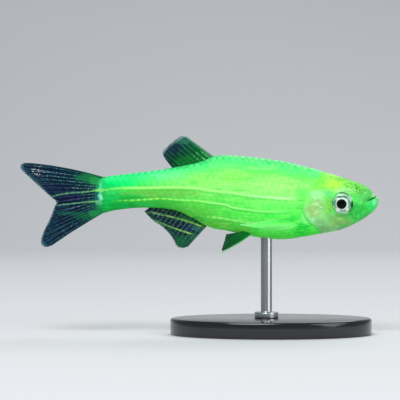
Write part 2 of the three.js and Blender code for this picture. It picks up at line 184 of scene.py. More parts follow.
def editing(piece):
    select_only(piece)
    bpy.ops.object.mode_set(mode="EDIT")


def pick(piece, kind, wanted):
    """Leaves the piece in edit mode with only the wanted edges or faces selected."""
    editing(piece)
    bpy.ops.mesh.select_mode(type=kind)
    bpy.ops.mesh.select_all(action="DESELECT")
    bpy.ops.object.mode_set(mode="OBJECT")
    for part in piece.data.edges if kind == "EDGE" else piece.data.polygons:
        part.select = wanted(part)
    bpy.ops.object.mode_set(mode="EDIT")


def edge_corners(piece, edge):
    return [piece.data.vertices[v].co for v in edge.vertices]


def apply_modifier(piece, kind, **settings):
    modifier = piece.modifiers.new(kind.title(), kind)
    for name, value in settings.items():
        setattr(modifier, name, value)
    select_only(piece)
    bpy.ops.object.modifier_apply(modifier=modifier.name)


def faces_outward(piece):
    editing(piece)
    bpy.ops.mesh.select_all(action="SELECT")
    bpy.ops.mesh.normals_make_consistent(inside=False)
    bpy.ops.object.mode_set(mode="OBJECT")


def settle(piece, name, material, replaces):
    """Names a finished piece, puts its place into its mesh and hands it to the frame."""
    select_only(piece)
    bpy.ops.object.transform_apply(location=True, rotation=True, scale=True)
    piece.name = name
    piece.data.name = name
    piece.data.materials.clear()
    piece.data.materials.append(material)
    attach(piece, "root")
    if replaces:
        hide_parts(*replaces)


def read_vectors(mesh, kind="co"):
    """A mesh's corners, or with kind "normal" the way its surface faces at each."""
    vectors = np.empty(len(mesh.vertices) * 3)
    mesh.vertices.foreach_get(kind, vectors)
    return vectors.reshape(-1, 3)


def write_places(mesh, places):
    mesh.vertices.foreach_set("co", np.ascontiguousarray(places, float).ravel())
    mesh.update()


def side_view(places):
    """Places in metres as (distance back, height) in millimetres."""
    return np.column_stack([SNOUT_X - places[:, 0] / MM, places[:, 2] / MM - AXIS_HEIGHT])


def paint(mesh, marks):
    """Writes each mark's values to the mesh's corners, for a material to read."""
    for name, values in marks.items():
        attribute = mesh.attributes.new(name, "FLOAT", "POINT")
        attribute.data.foreach_set("value", np.asarray(values, np.float32))


def body_marks(places):
    """The parts of the body that skin and scales colour alike, as shares at each place: how far up from
    belly to back, how far back, and how much on the head and on its gill cover."""
    view = side_view(places)
    distance, height = view.T
    along = np.clip(distance, 0.01, BODY_LENGTH)
    top, bottom = back_at(along), belly_at(along)
    behind_head, _ = line_distance(view, GILL_OPENING)
    behind_cheek, _ = line_distance(view, CHEEK_EDGE)
    return {
        "level": np.clip((height - bottom) / (top - bottom), 0, 1),
        "along": distance / BODY_LENGTH,
        "head": 1 - soft_step(behind_head, -0.35, 0.15),
        "gill_cover": soft_step(behind_cheek, -0.7, 0.7) * (1 - soft_step(behind_head, -0.55, 0.1)),
    }


# Finishes
MIX_FACTOR, MIX_A, MIX_B, MIX_RESULT = 0, 6, 7, 2
BANDS_PER_SCALE = 0.314  # a wave pattern's scale for one band per unit of length


def linear(hex_colour):
    """An sRGB hex colour as linear values, with alpha."""
    channels = [int(hex_colour[i:i + 2], 16) / 255 for i in (1, 3, 5)]
    return [c / 12.92 if c <= 0.04045 else ((c + 0.055) / 1.055) ** 2.4 for c in channels] + [1]


def across(size):
    """The scale of a pattern whose marks are this many millimetres across."""
    return 1 / (size * MM)


def set_inputs(node, values):
    """Sets a node's inputs, by name or number, each to a socket, a value or a hex colour."""
    for key, value in values.items():
        if isinstance(value, bpy.types.NodeSocket):
            node.id_data.links.new(value, node.inputs[key])
        else:
            node.inputs[key].default_value = linear(value) if isinstance(value, str) else value


def add_node(tree, kind, links=None, stops=(), out=0, **settings):
    """Adds a node with its links and settings and gives back its output of that name or number.
    stops are a colour ramp's places with their colours or greys."""
    made = tree.nodes.new("ShaderNode" + kind)
    for name, value in settings.items():
        setattr(made, name, value)
    set_inputs(made, links or {})
    if stops:
        points = made.color_ramp.elements
        while len(points) < len(stops):
            points.new(0.5)
        for point, (at, colour) in zip(points, stops):
            point.position = at
            point.color = linear(colour) if isinstance(colour, str) else (colour, colour, colour, 1)
    return made.outputs[out]


def new_material(name):
    """A material, add_node for its tree, and its shader."""
    material = bpy.data.materials.new(name)
    material.use_nodes = True
    tree = material.node_tree
    return material, partial(add_node, tree), tree.nodes["Principled BSDF"]


def lay_over(add, colour, coats):
    """Paints each (mask, colour) over the colour below it."""
    for mask, over in coats:
        colour = add("Mix", {MIX_FACTOR: mask, MIX_A: colour, MIX_B: over}, out=MIX_RESULT, data_type="RGBA")
    return colour


def patch_mask(add, where, wander, back, height, half_length, half_height, strength):
    """A soft oval in side view."""
    x, _, z = place(back, 0, height)
    size = (1 / (half_length * MM), 0, 1 / (half_height * MM))
    moved = add("VectorMath", {0: where, 1: (x, 0, z)}, operation="SUBTRACT")
    sized = add("VectorMath", {0: moved, 1: size, 2: wander}, operation="MULTIPLY_ADD")
    fade = add("TexGradient", {"Vector": sized}, out="Fac", gradient_type="SPHERICAL")
    limits = {"Value": fade, "From Max": 0.6, "To Max": strength}
    return add("MapRange", limits, interpolation_type="SMOOTHSTEP")


def patch_coats(add, where, wander, patches):
    """Patches as coats for lay_over. Each is a distance back, height, half-length, half-height, strength
    and colour."""
    return [(patch_mask(add, where, wander, *oval), colour) for *oval, colour in patches]


def wandering(add, pattern, amount):
    """A pattern's colours as small moves to either side, for ragged edges."""
    colours = pattern.node.outputs["Color"]
    return add("VectorMath", {0: colours, 1: (amount,) * 3, 2: (-amount / 2,) * 3}, operation="MULTIPLY_ADD")


def along_line(add, where, line):
    """How far a place is from a line's first point to its last, as a share of its length in X."""
    x = add("SeparateXYZ", {0: where}, out="X")
    first, last = [(SNOUT_X - line[end][0]) * MM for end in (0, -1)]
    return add("MapRange", {"Value": x, "From Min": first, "From Max": last})


def line_mask(add, where, line, half_width, drop=0):
    """A soft-edged line in side view through (distance back, height) points, as a share from 0 to 1.
    drop moves all of it down."""
    distances, heights = zip(*[(distance, height - drop) for distance, height in line])
    low, high = min(heights) - 0.5, max(heights) + 0.5
    share = along_line(add, where, line)
    curve = add("FloatCurve", {"Value": share})
    mapping = curve.node.mapping
    course = mapping.curves[0].points
    while len(course) < len(line):
        course.new(0.5, 0.5)
    for point, distance, height in zip(course, distances, heights):
        at = (distance - distances[0]) / (distances[-1] - distances[0])
        point.location = (at, (height - low) / (high - low))
    mapping.update()
    bottom, top = (AXIS_HEIGHT + low) * MM, (AXIS_HEIGHT + high) * MM
    level = add("MapRange", {"Value": curve, "To Min": bottom, "To Max": top})
    z = add("SeparateXYZ", {0: where}, out="Z")
    off = add("Math", {0: z, 1: level}, operation="SUBTRACT")
    away = add("Math", {0: off}, operation="ABSOLUTE")
    edge = {"From Min": half_width * MM, "From Max": half_width * 0.15 * MM}
    near = add("MapRange", {"Value": away, **edge}, interpolation_type="SMOOTHSTEP")
    ends = add("ValToRGB", {"Fac": share}, [(0, 0), (0.08, 1), (0.85, 1), (1, 0)])
    return add("Math", {0: near, 1: ends}, operation="MULTIPLY")


# Body colours up the flank from belly to back: behind the gill cover, at mid-body and on the tail stalk
FLANK_COLOURS = [
    [(0, "#48da44"), (0.1, "#56f656"), (0.24, "#58fb5c"), (0.4, "#6cf862"), (0.52, "#90fc7a"),
     (0.66, "#a2fd7c"), (0.8, "#74f860"), (0.92, "#58f47e"), (1, "#5cea88")],
    [(0, "#56cc38"), (0.12, "#54cc3a"), (0.26, "#5cd644"), (0.4, "#64d852"), (0.54, "#90f070"),
     (0.68, "#90fa6a"), (0.82, "#62f864"), (0.93, "#4cf086"), (1, "#54ea8c")],
    [(0, "#0a8c28"), (0.16, "#0a922a"), (0.28, "#129c30"), (0.42, "#24ae3e"), (0.54, "#4ed252"),
     (0.66, "#14e668"), (0.84, "#00e672"), (0.93, "#24ec88"), (1, "#48ec94")],
]
# Patches on the flank, from behind the gill cover to the tail's root: pigment, except one of painted light
# low behind the pectoral fin
BODY_PATCHES = [
    (10.3, -3.9, 1.5, 1.3, 0.95, "#12dc3a"), (10.6, -0.9, 1, 2.6, 0.55, "#38de40"),
    (10, -2.4, 0.7, 1.4, 0.5, "#8cf49a"), (10.4, 1.2, 1.5, 0.9, 0.6, "#4eea52"),
    (13.2, 2.1, 3.2, 1.6, 0.4, "#b0fd84"), (19.5, 3.1, 2.6, 1.3, 0.45, "#92fd5e"),
    (24, 3, 1.6, 1, 0.35, "#9afc60"), (21.5, -3.2, 2.8, 0.8, 0.5, "#6aae30"),
    (18.3, -4.1, 2, 0.8, 0.5, "#68a028"), (24, -1.6, 3.2, 1.2, 0.4, "#68be3a"),
    # The first patch here is painted light, lifting the lower flank out of its shade behind the pectoral fin
    (13.6, -3.5, 3.2, 0.8, 1, "#84ff80"), (11.6, -2.6, 1.1, 0.7, 0.65, "#30de44"),
    (13.8, 4.9, 2.2, 0.8, 0.5, "#40ea70"), (28.3, 3.3, 3.6, 1, 0.35, "#80f4a8"),
    (28.8, 1, 6.6, 0.85, 0.75, "#7cbe46"), (24.3, -2.6, 1.6, 0.6, 0.6, "#2c8c2c"),
    (36.2, -0.6, 1.2, 0.8, 0.5, "#068c2e"), (36.4, 1.1, 2.2, 2, 0.5, "#00b256"),
]
TAIL_FIN_BASE = "#15704a"
TAIL_FLECKS = [
    (38.3, 0.75, 1.1, 1.5, 1, "#1a5260"), (38, -1, 0.6, 0.9, 0.6, "#2c7a68"),
    (37.6, 2.5, 1, 0.7, 0.7, "#2cb45c"), (37.2, 1.5, 0.3, 0.9, 0.6, "#70dca4"),
    (37.15, 0.35, 0.36, 0.7, 0.8, "#8ceccc"), (37.5, -0.4, 0.7, 0.25, 0.4, "#74ccae"),
    (37.8, 1.32, 1.8, 0.24, 0.8, "#8adc6c"), (38, -0.16, 1.4, 0.22, 0.6, "#70c882"),
]
# Yellow nape, paler brow, grey-green cheek and throat, deep green snout, then the mouth
HEAD_PATCHES = [
    (3.6, 1.9, 3.4, 1.6, 0.9, "#6ecc4e"), (5.8, 2.3, 3.2, 1.7, 0.75, "#92ea50"),
    (6.5, 2.4, 2.4, 1.6, 0.7, "#a6f04c"), (6, 2.1, 1.3, 0.8, 0.5, "#b8f24c"),
    (8.4, 2.9, 1.9, 1.3, 0.9, "#78f252"), (1.3, 0.7, 1.6, 1.3, 0.8, "#66c864"),
    (4.2, 2.9, 3, 0.5, 0.5, "#58ac48"), (4.7, 1.25, 2, 0.55, 0.8, "#aaf092"),
    (6.9, 0.9, 0.7, 0.8, 0.45, "#66dd8c"), (6.95, -0.8, 0.8, 1.6, 0.8, "#7ec434"),
    (6.2, -2.7, 3, 1.3, 0.8, "#78ac66"), (5.6, -2.5, 1.7, 0.5, 0.25, "#84b254"),
    (6.4, -3.3, 1.4, 0.5, 0.45, "#a0a868"), (6.2, -4.1, 2.6, 0.7, 1, "#94a298"),
    (4.6, -2.9, 1.2, 0.5, 0.5, "#94b05c"), (3.3, -1.3, 1.1, 1.3, 0.85, "#249c44"),
    (1.9, 0, 0.9, 0.6, 0.5, "#2aa848"), (2.3, -1.7, 2.2, 1.7, 0.85, "#26c044"),
    (0.8, -0.6, 1.3, 1.2, 0.8, "#22d864"), (0.65, -0.25, 0.5, 0.45, 0.7, "#7cecb0"),
    (1.35, 0.15, 0.75, 0.45, 0.5, "#1c8c40"), (0.62, 0.75, 0.45, 0.3, 0.9, "#b0ccb0"),
]
GILL_PATCHES = [
    (8.5, 0.8, 1.5, 1, 0.85, "#98f298"), (9.3, 1.8, 1.3, 0.8, 0.7, "#8cf85a"),
    (8.6, -1, 1.5, 1.8, 0.7, "#8cc46c"), (8.1, -0.8, 0.9, 1.1, 0.6, "#7cb862"),
    (9.1, -1.6, 1.4, 1.2, 0.5, "#9cb46c"), (9.8, 0.4, 1, 1.8, 0.7, "#78ea60"),
    (9.9, -2.3, 0.8, 1.2, 0.8, "#94ea8c"), (8.2, -3.2, 1.9, 1.1, 0.75, "#7cbc78"),
    (7.2, -3.9, 1.6, 0.7, 0.6, "#6a9c66"), (8.95, -2.7, 0.6, 0.6, 0.6, "#a2f0b0"),
    (8, 1.9, 1.7, 0.9, 0.95, "#7eec48"),
]
# Where the silver flecks, painted highlights, lie on the gill cover, and dark dots over the snout and by the
# eye
SILVER_PLACE = (8.4, -0.7, 1.1, 2.2, 1)
PEPPER_PLACES = [(2.9, 1.9, 3.4, 2, 1), (3.9, -1.8, 1.6, 1.1, 0.9)]
MOUTH_SHADE = 0.14  # half the width of the dark line in the mouth

# Pale lines along the flank, from the gill cover back. beads are how far back the gaps between a line's
# beads begin, and how strong they grow. The colours too run back, by share of the body's length.
PALE_LINES = [
    {"line": [(10.9, 0.25), (12.6, 0.2), (14.6, 0.35), (15.9, 0.45), (17.8, 0.68), (20.2, 1.03),
              (22.6, 1.28), (24.4, 1.57), (27.3, 1.68), (31, 1.62), (34.6, 1.57), (37, 1.34)],
     "half": 0.26, "beads": (0.55, 0),
     "colours": [(0.3, "#c0fcae"), (0.5, "#9df486"), (0.75, "#a2f07a"), (1, "#92ee70")]},
    {"line": [(11.8, -1.52), (15.9, -1.48), (17.8, -1.25), (19.5, -1), (20.7, -0.58), (22.6, -0.35),
              (24.4, -0.1), (26.8, 0.02), (29.2, 0.19), (30.9, 0.07), (35.8, -0.13)],
     "half": 0.2, "beads": (0.55, 0.65),
     "colours": [(0.3, "#84f880"), (0.55, "#98f282"), (0.8, "#9cf65c"), (1, "#7cff6c")]},
    {"line": [(15.9, -3.05), (19, -2.79), (21.4, -2.38), (23.3, -2.24)],
     "half": 0.21, "beads": (0.38, 1.2), "colours": [(0.4, "#84f880"), (0.6, "#a8f67c")]},
]
BEAD_PITCH = 0.85
LINE_SHADE_SHARE = 1.2  # half-width and drop of the darker line under a pale one, over its half-width
STREAK_SQUEEZE = (0.14, 1, 1)  # draws a pattern out along the body


def body_surface(add):
    """What the body's colours follow: the painted marks, the place, and patterns from coarse to fine."""
    where = add("TexCoord", out="Object")
    body = {"where": where}
    for mark in ("level", "along"):
        body[mark] = add("Attribute", out="Fac", attribute_name=mark)
    body["cloud"] = add("TexNoise", {"Vector": where, "Scale": across(0.8), "Detail": 3})
    body["ruffle"] = add("TexNoise", {"Vector": where, "Scale": across(0.45), "Detail": 4})
    speck = add("TexNoise", {"Vector": where, "Scale": across(0.16), "Detail": 2})
    body["speck"] = speck
    body["wander"] = wandering(add, body["cloud"], 0.8)
    body["dots"] = add("MapRange", {"Value": speck, "From Min": 0.5, "From Max": 0.72, "To Max": 0.3})
    body["dark"] = add("ValToRGB", {"Fac": body["along"]}, [(0.55, "#30c444"), (0.8, "#04b44a")])
    return body


def flank_colour(add, body):
    """Belly to back, in three shares of the body's length that run into each other."""
    ragged = add("Math", {0: body["cloud"], 1: 0.5}, operation="SUBTRACT")
    level = add("Math", {0: ragged, 1: 0.1, 2: body["level"]}, operation="MULTIPLY_ADD")
    front, middle, stalk = [add("ValToRGB", {"Fac": level}, colours) for colours in FLANK_COLOURS]
    to_middle = add("MapRange", {"Value": body["along"], "From Min": 0.38, "From Max": 0.66})
    to_stalk = add("MapRange", {"Value": body["along"], "From Min": 0.68, "From Max": 0.9})
    patches = patch_coats(add, body["where"], body["wander"], BODY_PATCHES)
    return lay_over(add, front, [(to_middle, middle), (to_stalk, stalk), *patches])


def draw_streaks(add, body, colour):
    """Muscle and pigment run along the flank in faint streaks, and the pigment lies in tiny dots."""
    drawn_out = add("VectorMath", {0: body["where"], 1: STREAK_SQUEEZE}, operation="MULTIPLY")
    streak = add("TexNoise", {"Vector": drawn_out, "Scale": across(0.3), "Detail": 2})
    pale_streak = add("MapRange", {"Value": streak, "From Min": 0.52, "From Max": 0.7, "To Max": 0.4})
    dark_streak = add("MapRange", {"Value": streak, "From Min": 0.48, "From Max": 0.3, "To Max": 0.4})
    pale = add("ValToRGB", {"Fac": body["along"]}, [(0.55, "#a6fc86"), (0.8, "#10ee7c")])
    return lay_over(add, colour, [
        (pale_streak, pale), (dark_streak, body["dark"]), (body["dots"], body["dark"]),
    ])


def shade_scales(add, body, colour):
    """Thin edges show darker, each scale has its own depth of green, and the back's are the darkest."""
    rim, tone = [add("Attribute", out="Fac", attribute_name=mark) for mark in ("rim", "tone")]
    rim_shade = add("MapRange", {"Value": rim, "From Min": 0.62, "To Max": 0.3})
    tone_shade = add("Math", {0: tone, 1: 0.12}, operation="MULTIPLY")
    on_back = add("MapRange", {"Value": body["level"], "From Min": 0.9, "From Max": 0.97, "To Max": 0.45})
    back_edge = add("Math", {0: rim, 1: on_back}, operation="MULTIPLY")
    return lay_over(add, colour, [
        (rim_shade, body["dark"]), (tone_shade, body["dark"]), (back_edge, "#0c6c30"),
    ])


def draw_pale_lines(add, body, colour):
    """Lays the pale lines over the flank, each with a darker one under it. The lower ones break into
    beads towards the tail."""
    wave = add("TexWave", {
        "Vector": body["where"], "Scale": BANDS_PER_SCALE * across(BEAD_PITCH), "Distortion": 3, "Detail": 2,
    }, out="Fac", bands_direction="X")
    between = add("Math", {0: 1, 1: wave}, operation="SUBTRACT")
    uneven = add("MapRange", {"Value": body["cloud"], "From Min": 0.3, "From Max": 0.5, "To Min": 0.7})
    for mark in PALE_LINES:
        line, half = mark["line"], mark["half"]
        beads_from, beads_most = mark["beads"]
        beading = add("MapRange", {
            "Value": body["along"], "From Min": beads_from, "From Max": 0.8, "To Max": beads_most,
        })
        gaps = add("Math", {0: between, 1: beading}, operation="MULTIPLY")
        strength = add("Math", {0: uneven, 1: gaps}, operation="SUBTRACT", use_clamp=True)
        on_line = line_mask(add, body["where"], line, half)
        below = line_mask(add, body["where"], line, half * LINE_SHADE_SHARE, half * LINE_SHADE_SHARE)
        under = add("Math", {0: below, 1: 0.45}, operation="MULTIPLY")
        over = add("Math", {0: on_line, 1: strength}, operation="MULTIPLY")
        pale = add("ValToRGB", {"Fac": body["along"]}, mark["colours"])
        colour = lay_over(add, colour, [(under, "#36be3e"), (over, pale)])
    return colour


def head_colour(add, body):
    """Naked skin: pale gill cover with silver flecks of painted highlight, mottled green face, dark dots on
    top and by the eye, and painted shade under the throat."""
    where, ruffle = body["where"], body["ruffle"]
    on_gill_cover = add("Attribute", out="Fac", attribute_name="gill_cover")
    ragged = wandering(add, ruffle, 0.5)
    face = lay_over(add, "#58d85e", patch_coats(add, where, ragged, HEAD_PATCHES))
    gill = lay_over(add, "#8ce080", patch_coats(add, where, ragged, GILL_PATCHES))
    # Silver flecks: painted highlights in short squiggles over the gill cover
    silver = add("TexNoise", {"Vector": where, "Scale": across(0.8), "Detail": 1, "Distortion": 1.8})
    fleck = add("ValToRGB", {"Fac": silver}, [(0.45, 0), (0.5, 0.85), (0.55, 0), (1, 0)])
    fleck_place = patch_mask(add, where, body["wander"], *SILVER_PLACE)
    flecks = add("Math", {0: fleck, 1: fleck_place}, operation="MULTIPLY")
    pepper = add("MapRange", {"Value": body["speck"], "From Min": 0.48, "From Max": 0.64, "To Max": 0.6})
    on_top, by_eye = [patch_mask(add, where, body["wander"], *oval) for oval in PEPPER_PLACES]
    pepper_place = add("Math", {0: on_top, 1: by_eye}, operation="MAXIMUM")
    peppered = add("Math", {0: pepper, 1: pepper_place}, operation="MULTIPLY")
    murky = add("MapRange", {"Value": ruffle, "From Min": 0.52, "From Max": 0.68, "To Max": 0.5})
    clear = add("MapRange", {"Value": ruffle, "From Min": 0.46, "From Max": 0.32, "To Max": 0.4})
    # Painted shade under the throat, where the head turns under
    under = add("MapRange", {"Value": body["level"], "From Min": 0.14, "From Max": 0.01, "To Max": 0.6})
    return lay_over(add, face, [
        (murky, "#2aa444"), (clear, "#86f47c"), (under, "#4c8458"), (on_gill_cover, gill),
        (flecks, "#c4f4ae"), (peppered, "#2a7a34"), (body["dots"], "#3aa850"),
        (line_mask(add, where, MOUTH_LINE, MOUTH_SHADE), "#1a6c40"),
    ])


def body_material(name, on_scales):
    """Wet living skin, or the scales that lie on it with the same markings: deep even green that seems
    to glow, with soft highlights."""
    material, add, shader = new_material(name)
    body = body_surface(add)
    colour = draw_streaks(add, body, flank_colour(add, body))
    if on_scales:
        colour = shade_scales(add, body, colour)
    colour = draw_pale_lines(add, body, colour)
    if not on_scales:
        on_head = add("Attribute", out="Fac", attribute_name="head")
        colour = lay_over(add, colour, [(on_head, head_colour(add, body))])
    # Past the stalk the skin thins out over the fin rays and takes their colour
    frayed = add("Math", {0: body["cloud"], 1: 0.08, 2: body["along"]}, operation="MULTIPLY_ADD")
    onto_fin = add("MapRange", {"Value": frayed, "From Min": 1.022, "From Max": 1.068})
    flecks = patch_coats(add, body["where"], wandering(add, body["ruffle"], 2), TAIL_FLECKS)
    colour = lay_over(add, colour, [(onto_fin, TAIL_FIN_BASE), *flecks])
    bump = add("Bump", {"Height": body["speck"], "Strength": 0.15, "Distance": 0.00005})
    # Painted glow: the emission stands in for the pigment's fluorescence, so the skin gives back a little
    # more light than a plain green would
    set_inputs(shader, {
        "Base Color": colour, "Emission Color": colour, "Emission Strength": 0.24, "Roughness": 0.45,
        "Specular IOR Level": 0.2, "Specular Tint": "#6cff98", "Coat Weight": 0.1, "Coat Roughness": 0.22,
        "Normal": bump,
    })
    return material


# The fins' finishes. membrane gives the colours from root to margin. Each of the next four is a share and
# a colour: behind for the last rays, rays for their ridges, whose colours too run from root to margin, rim
# for the margin and lead for the first ray. rim ends with where along the rays it starts, lead with the
# share of the fin it takes. Each line has its half-width, and line_colours run from front to back. glints
# are patches of bright specks, partly the rays' own lighter colour and partly painted highlights, that show
# on the crests of the rays alone. glow is a painted glow in the fin's own colour.
FIN_FINISHES = {
    "tail": {
        "name": "tail fin membrane, navy",
        "membrane": [(0.12, TAIL_FIN_BASE), (0.2, "#0f4a40"), (0.3, "#0b3038"), (0.55, "#071c30"),
                     (1, "#08172b")],
        "behind": (0.2, "#06101e"),
        "rays": (0.85, [(0.12, "#4cc890"), (0.28, "#4c9a98"), (0.5, "#3c7c8a"), (1, "#346a84")]),
        "rim": (0.6, "#5c8a94", 0.96),
        "lead": (0.6, "#4f8a80", 0.04),
        "lines": [([(37, 1.45), (39.5, 1.05), (41.5, 0.91), (44.2, 0.35)], 0.16),
                  ([(37, -0.1), (40.3, -0.4), (43.6, -0.8)], 0.16)],
        "line_colours": [(0.1, "#7cca6c"), (0.5, "#66b07e"), (1, "#5f9c80")],
        "patches": [
            (41.6, 0.5, 2.6, 0.8, 0.6, "#181a48"), (43.6, 1.5, 3, 0.8, 0.85, "#0c0c30"),
            (38.6, 3, 2.5, 0.8, 0.75, "#14783e"), (38.6, -2.2, 2.6, 0.6, 0.5, "#126c34"),
            (38, 2.6, 1.1, 0.7, 0.7, "#28a850"), (38, -1.8, 1.1, 0.6, 0.6, "#209a48"),
            (43.4, -2.8, 0.9, 1.2, 0.5, "#0a1630"), (41.2, -1.8, 2.6, 0.3, 0.4, "#146a44"),
            (42.4, 0.5, 2.2, 0.8, 0.8, "#080e28"),
        ],
        "glints": [
            # The first, white near the upper lobe's tip, is painted highlights
            (45.5, 3.85, 1.35, 0.9, 0.9, "#d4e2f2"), (43, 3.4, 2.6, 1, 0.8, "#68a8b8"),
            (41.2, 2.7, 2.4, 0.8, 0.9, "#5cb8bc"), (39.4, 1.7, 2.6, 0.6, 0.9, "#a4c4cc"),
            (38.6, 0.5, 1.3, 0.9, 0.6, "#8cc8cc"), (39.4, -0.9, 2.4, 0.5, 0.6, "#a4bcd0"),
            (40.4, 0.15, 2.6, 0.5, 0.55, "#8070c0"), (40.6, -1.2, 2.4, 0.5, 0.4, "#6c64b0"),
            (41, -4.2, 2.6, 1.4, 0.35, "#7cb4c0"),
        ],
    },
    "dorsal": {
        "name": "dorsal fin membrane, dark green",
        "membrane": [(0.05, "#0c7c30"), (0.35, "#085e26"), (0.7, "#06442c"), (1, "#082a28")],
        "behind": (0.75, "#08202c"),
        "rays": (1, [(0.1, "#40dc78"), (0.45, "#20a054"), (0.9, "#40707c")]),
        "rim": (0.75, "#8aa2aa", 0.91),
        "lead": (0.8, "#6cb48c", 0.08),
        "patches": [(26.1, 7.9, 1.4, 0.6, 0.5, "#2f8060"), (27.4, 7, 1.4, 1.1, 0.65, "#0a1a36"),
                    (25.8, 5.2, 1.9, 0.9, 0.7, "#0c6a26")],
        "glints": [(23.6, 5.9, 1.7, 0.9, 1, "#9cf8b8")],
    },
    "anal": {
        "name": "anal fin membrane, dark green",
        "membrane": [(0.05, "#0a4822"), (0.35, "#07262a"), (0.7, "#08262e"), (1, "#0d3c36")],
        "behind": (0.3, "#08281a"),
        "rays": (0.85, [(0.1, "#86b0a4"), (0.5, "#7898ae"), (0.9, "#387a60")]),
        "rim": (0.4, "#3f7258", 0.95),
        "lead": (0.35, "#4d8a70", 0.05),
        "lines": [([(23.3, -3.65), (25.9, -2.75), (28.4, -2.1), (31.2, -1.5)], 0.21),
                  ([(24.8, -4.6), (27.2, -3.85), (29, -3.15), (30.8, -2.5)], 0.19)],
        "line_colours": [(0, "#a4ee5e"), (0.45, "#78b85c"), (1, "#6c9c74")],
        "patches": [(25, -3.7, 1.6, 0.7, 0.2, "#1e3a7c"), (24.2, -3.8, 1, 0.6, 0.25, "#3c8c6c"),
                    (26.3, -5.4, 1.3, 0.9, 0.45, "#0e6c34"), (24.8, -4.9, 0.9, 0.7, 0.4, "#127038"),
                    (25.2, -2.5, 2.6, 0.5, 0.5, "#1c6a34")],
    },
    "pelvic": {
        "name": "pelvic fin membrane, dark green",
        "membrane": [(0.05, "#0c9434"), (0.4, "#086c2a"), (1, "#0a3c24")],
        "behind": (0.3, "#064420"),
        "rays": (0.6, [(0.1, "#2ab04a"), (0.9, "#2a8a4c")]),
        "rim": (0.5, "#3a6a58", 0.93),
        "lead": (0.95, "#a4cca8", 0.13),
    },
    "pectoral": {
        "name": "pectoral fin membrane, pale green",
        "membrane": [(0.03, "#30dc3c"), (0.2, "#36e244"), (0.5, "#58ee5e"), (1, "#78f47a")],
        "behind": (0.8, "#7cf67a"),
        "rays": (0.35, [(0.1, "#8cf88c"), (0.9, "#b0fcae")]),
        "rim": (0.3, "#9cf49a", 0.95),
        "lead": (0.55, "#a8f8a0", 0.1),
        # Painted glow in the fin's own colour
        "glow": 0.12,
    },
}


def fin_surface(add):
    """What a fin's colours follow: the painted marks, the place, and patterns from coarse to fine."""
    where = add("TexCoord", out="Object")
    fin = {"where": where}
    for mark in ("reach", "front", "ray"):
        fin[mark] = add("Attribute", out="Fac", attribute_name=mark)
    fin["cloud"] = add("TexNoise", {"Vector": where, "Scale": across(0.7), "Detail": 4})
    fin["speck"] = add("TexNoise", {"Vector": where, "Scale": across(0.2), "Detail": 2})
    fin["joints"] = add("TexWave", {
        "Vector": where, "Scale": BANDS_PER_SCALE * across(0.4), "Distortion": 6, "Detail": 2,
    }, out="Fac", bands_direction="DIAGONAL")
    fin["wander"] = wandering(add, fin["cloud"], 0.8)
    uneven = add("Math", {0: fin["cloud"], 1: 0.4, 2: -0.2}, operation="MULTIPLY_ADD")
    fin["uneven_reach"] = add("Math", {0: fin["reach"], 1: uneven}, operation="ADD")
    return fin


def draw_rays(add, fin, colour, rays, patches):
    """Each ray is jointed, so it shows as a row of short light dashes. Pigment lies in the membrane under
    the rays, and thinner over them."""
    share, colours = rays
    dashes = add("MapRange", {"Value": fin["joints"], "From Min": 0.2, "To Min": 0.4})
    on_ray = add("MapRange", {"Value": fin["ray"], "From Min": 0.3, "From Max": 0.95, "To Max": share})
    fitful = add("MapRange", {"Value": fin["cloud"], "From Min": 0.35, "From Max": 0.6, "To Min": 0.35})
    jointed = add("Math", {0: on_ray, 1: dashes}, operation="MULTIPLY")
    dashed = add("Math", {0: jointed, 1: fitful}, operation="MULTIPLY")
    grains = add("MapRange", {"Value": fin["speck"], "From Min": 0.55, "From Max": 0.75, "To Max": 0.3})
    ray_colour = add("ValToRGB", {"Fac": fin["uneven_reach"]}, colours)
    pigment = patch_coats(add, fin["where"], fin["wander"], patches)
    over_rays = [(add("Math", {0: mask, 1: 0.5}, operation="MULTIPLY"), tint) for mask, tint in pigment]
    return lay_over(add, colour, [*pigment, (grains, ray_colour), (dashed, ray_colour), *over_rays])


def draw_fin_lines(add, fin, colour, lines, colours):
    """Lays broken pale lines over a fin."""
    broken = add("MapRange", {"Value": fin["speck"], "From Min": 0.42, "From Max": 0.55, "To Min": 0.3})
    for line, half_width in lines:
        mask = line_mask(add, fin["where"], line, half_width)
        on_line = add("Math", {0: mask, 1: broken}, operation="MULTIPLY")
        line_colour = add("ValToRGB", {"Fac": along_line(add, fin["where"], line)}, colours)
        colour = lay_over(add, colour, [(on_line, line_colour)])
    return colour


def draw_fin_edges(add, fin, colour, rim, lead):
    """The margin is worn in places, and the first ray stands out."""
    rim_share, rim_colour, rim_from = rim
    to_rim = add("MapRange", {
        "Value": fin["reach"], "From Min": rim_from, "From Max": (rim_from + 1) / 2, "To Max": rim_share,
    }, interpolation_type="SMOOTHSTEP")
    worn = add("MapRange", {"Value": fin["cloud"], "From Min": 0.4, "From Max": 0.55, "To Min": 0.35})
    worn_rim = add("Math", {0: to_rim, 1: worn}, operation="MULTIPLY")
    lead_share, lead_colour, lead_width = lead
    to_lead = add("MapRange", {
        "Value": fin["front"], "From Min": lead_width, "From Max": lead_width * 0.4, "To Max": lead_share,
    })
    return lay_over(add, colour, [(worn_rim, rim_colour), (to_lead, lead_colour)])


def draw_glints(add, fin, colour, glints):
    """Bright specks on the crests of the rays: partly the rays' own lighter colour, partly painted
    highlights.
    """
    shine = add("MapRange", {"Value": fin["speck"], "From Min": 0.5, "From Max": 0.57})
    crest = add("MapRange", {"Value": fin["ray"], "From Min": 0.35, "From Max": 0.7})
    on_crest = add("Math", {0: shine, 1: crest}, operation="MULTIPLY")
    for mask, tint in patch_coats(add, fin["where"], fin["wander"], glints):
        shining = add("Math", {0: on_crest, 1: mask}, operation="MULTIPLY")
        colour = lay_over(add, colour, [(shining, tint)])
    return colour


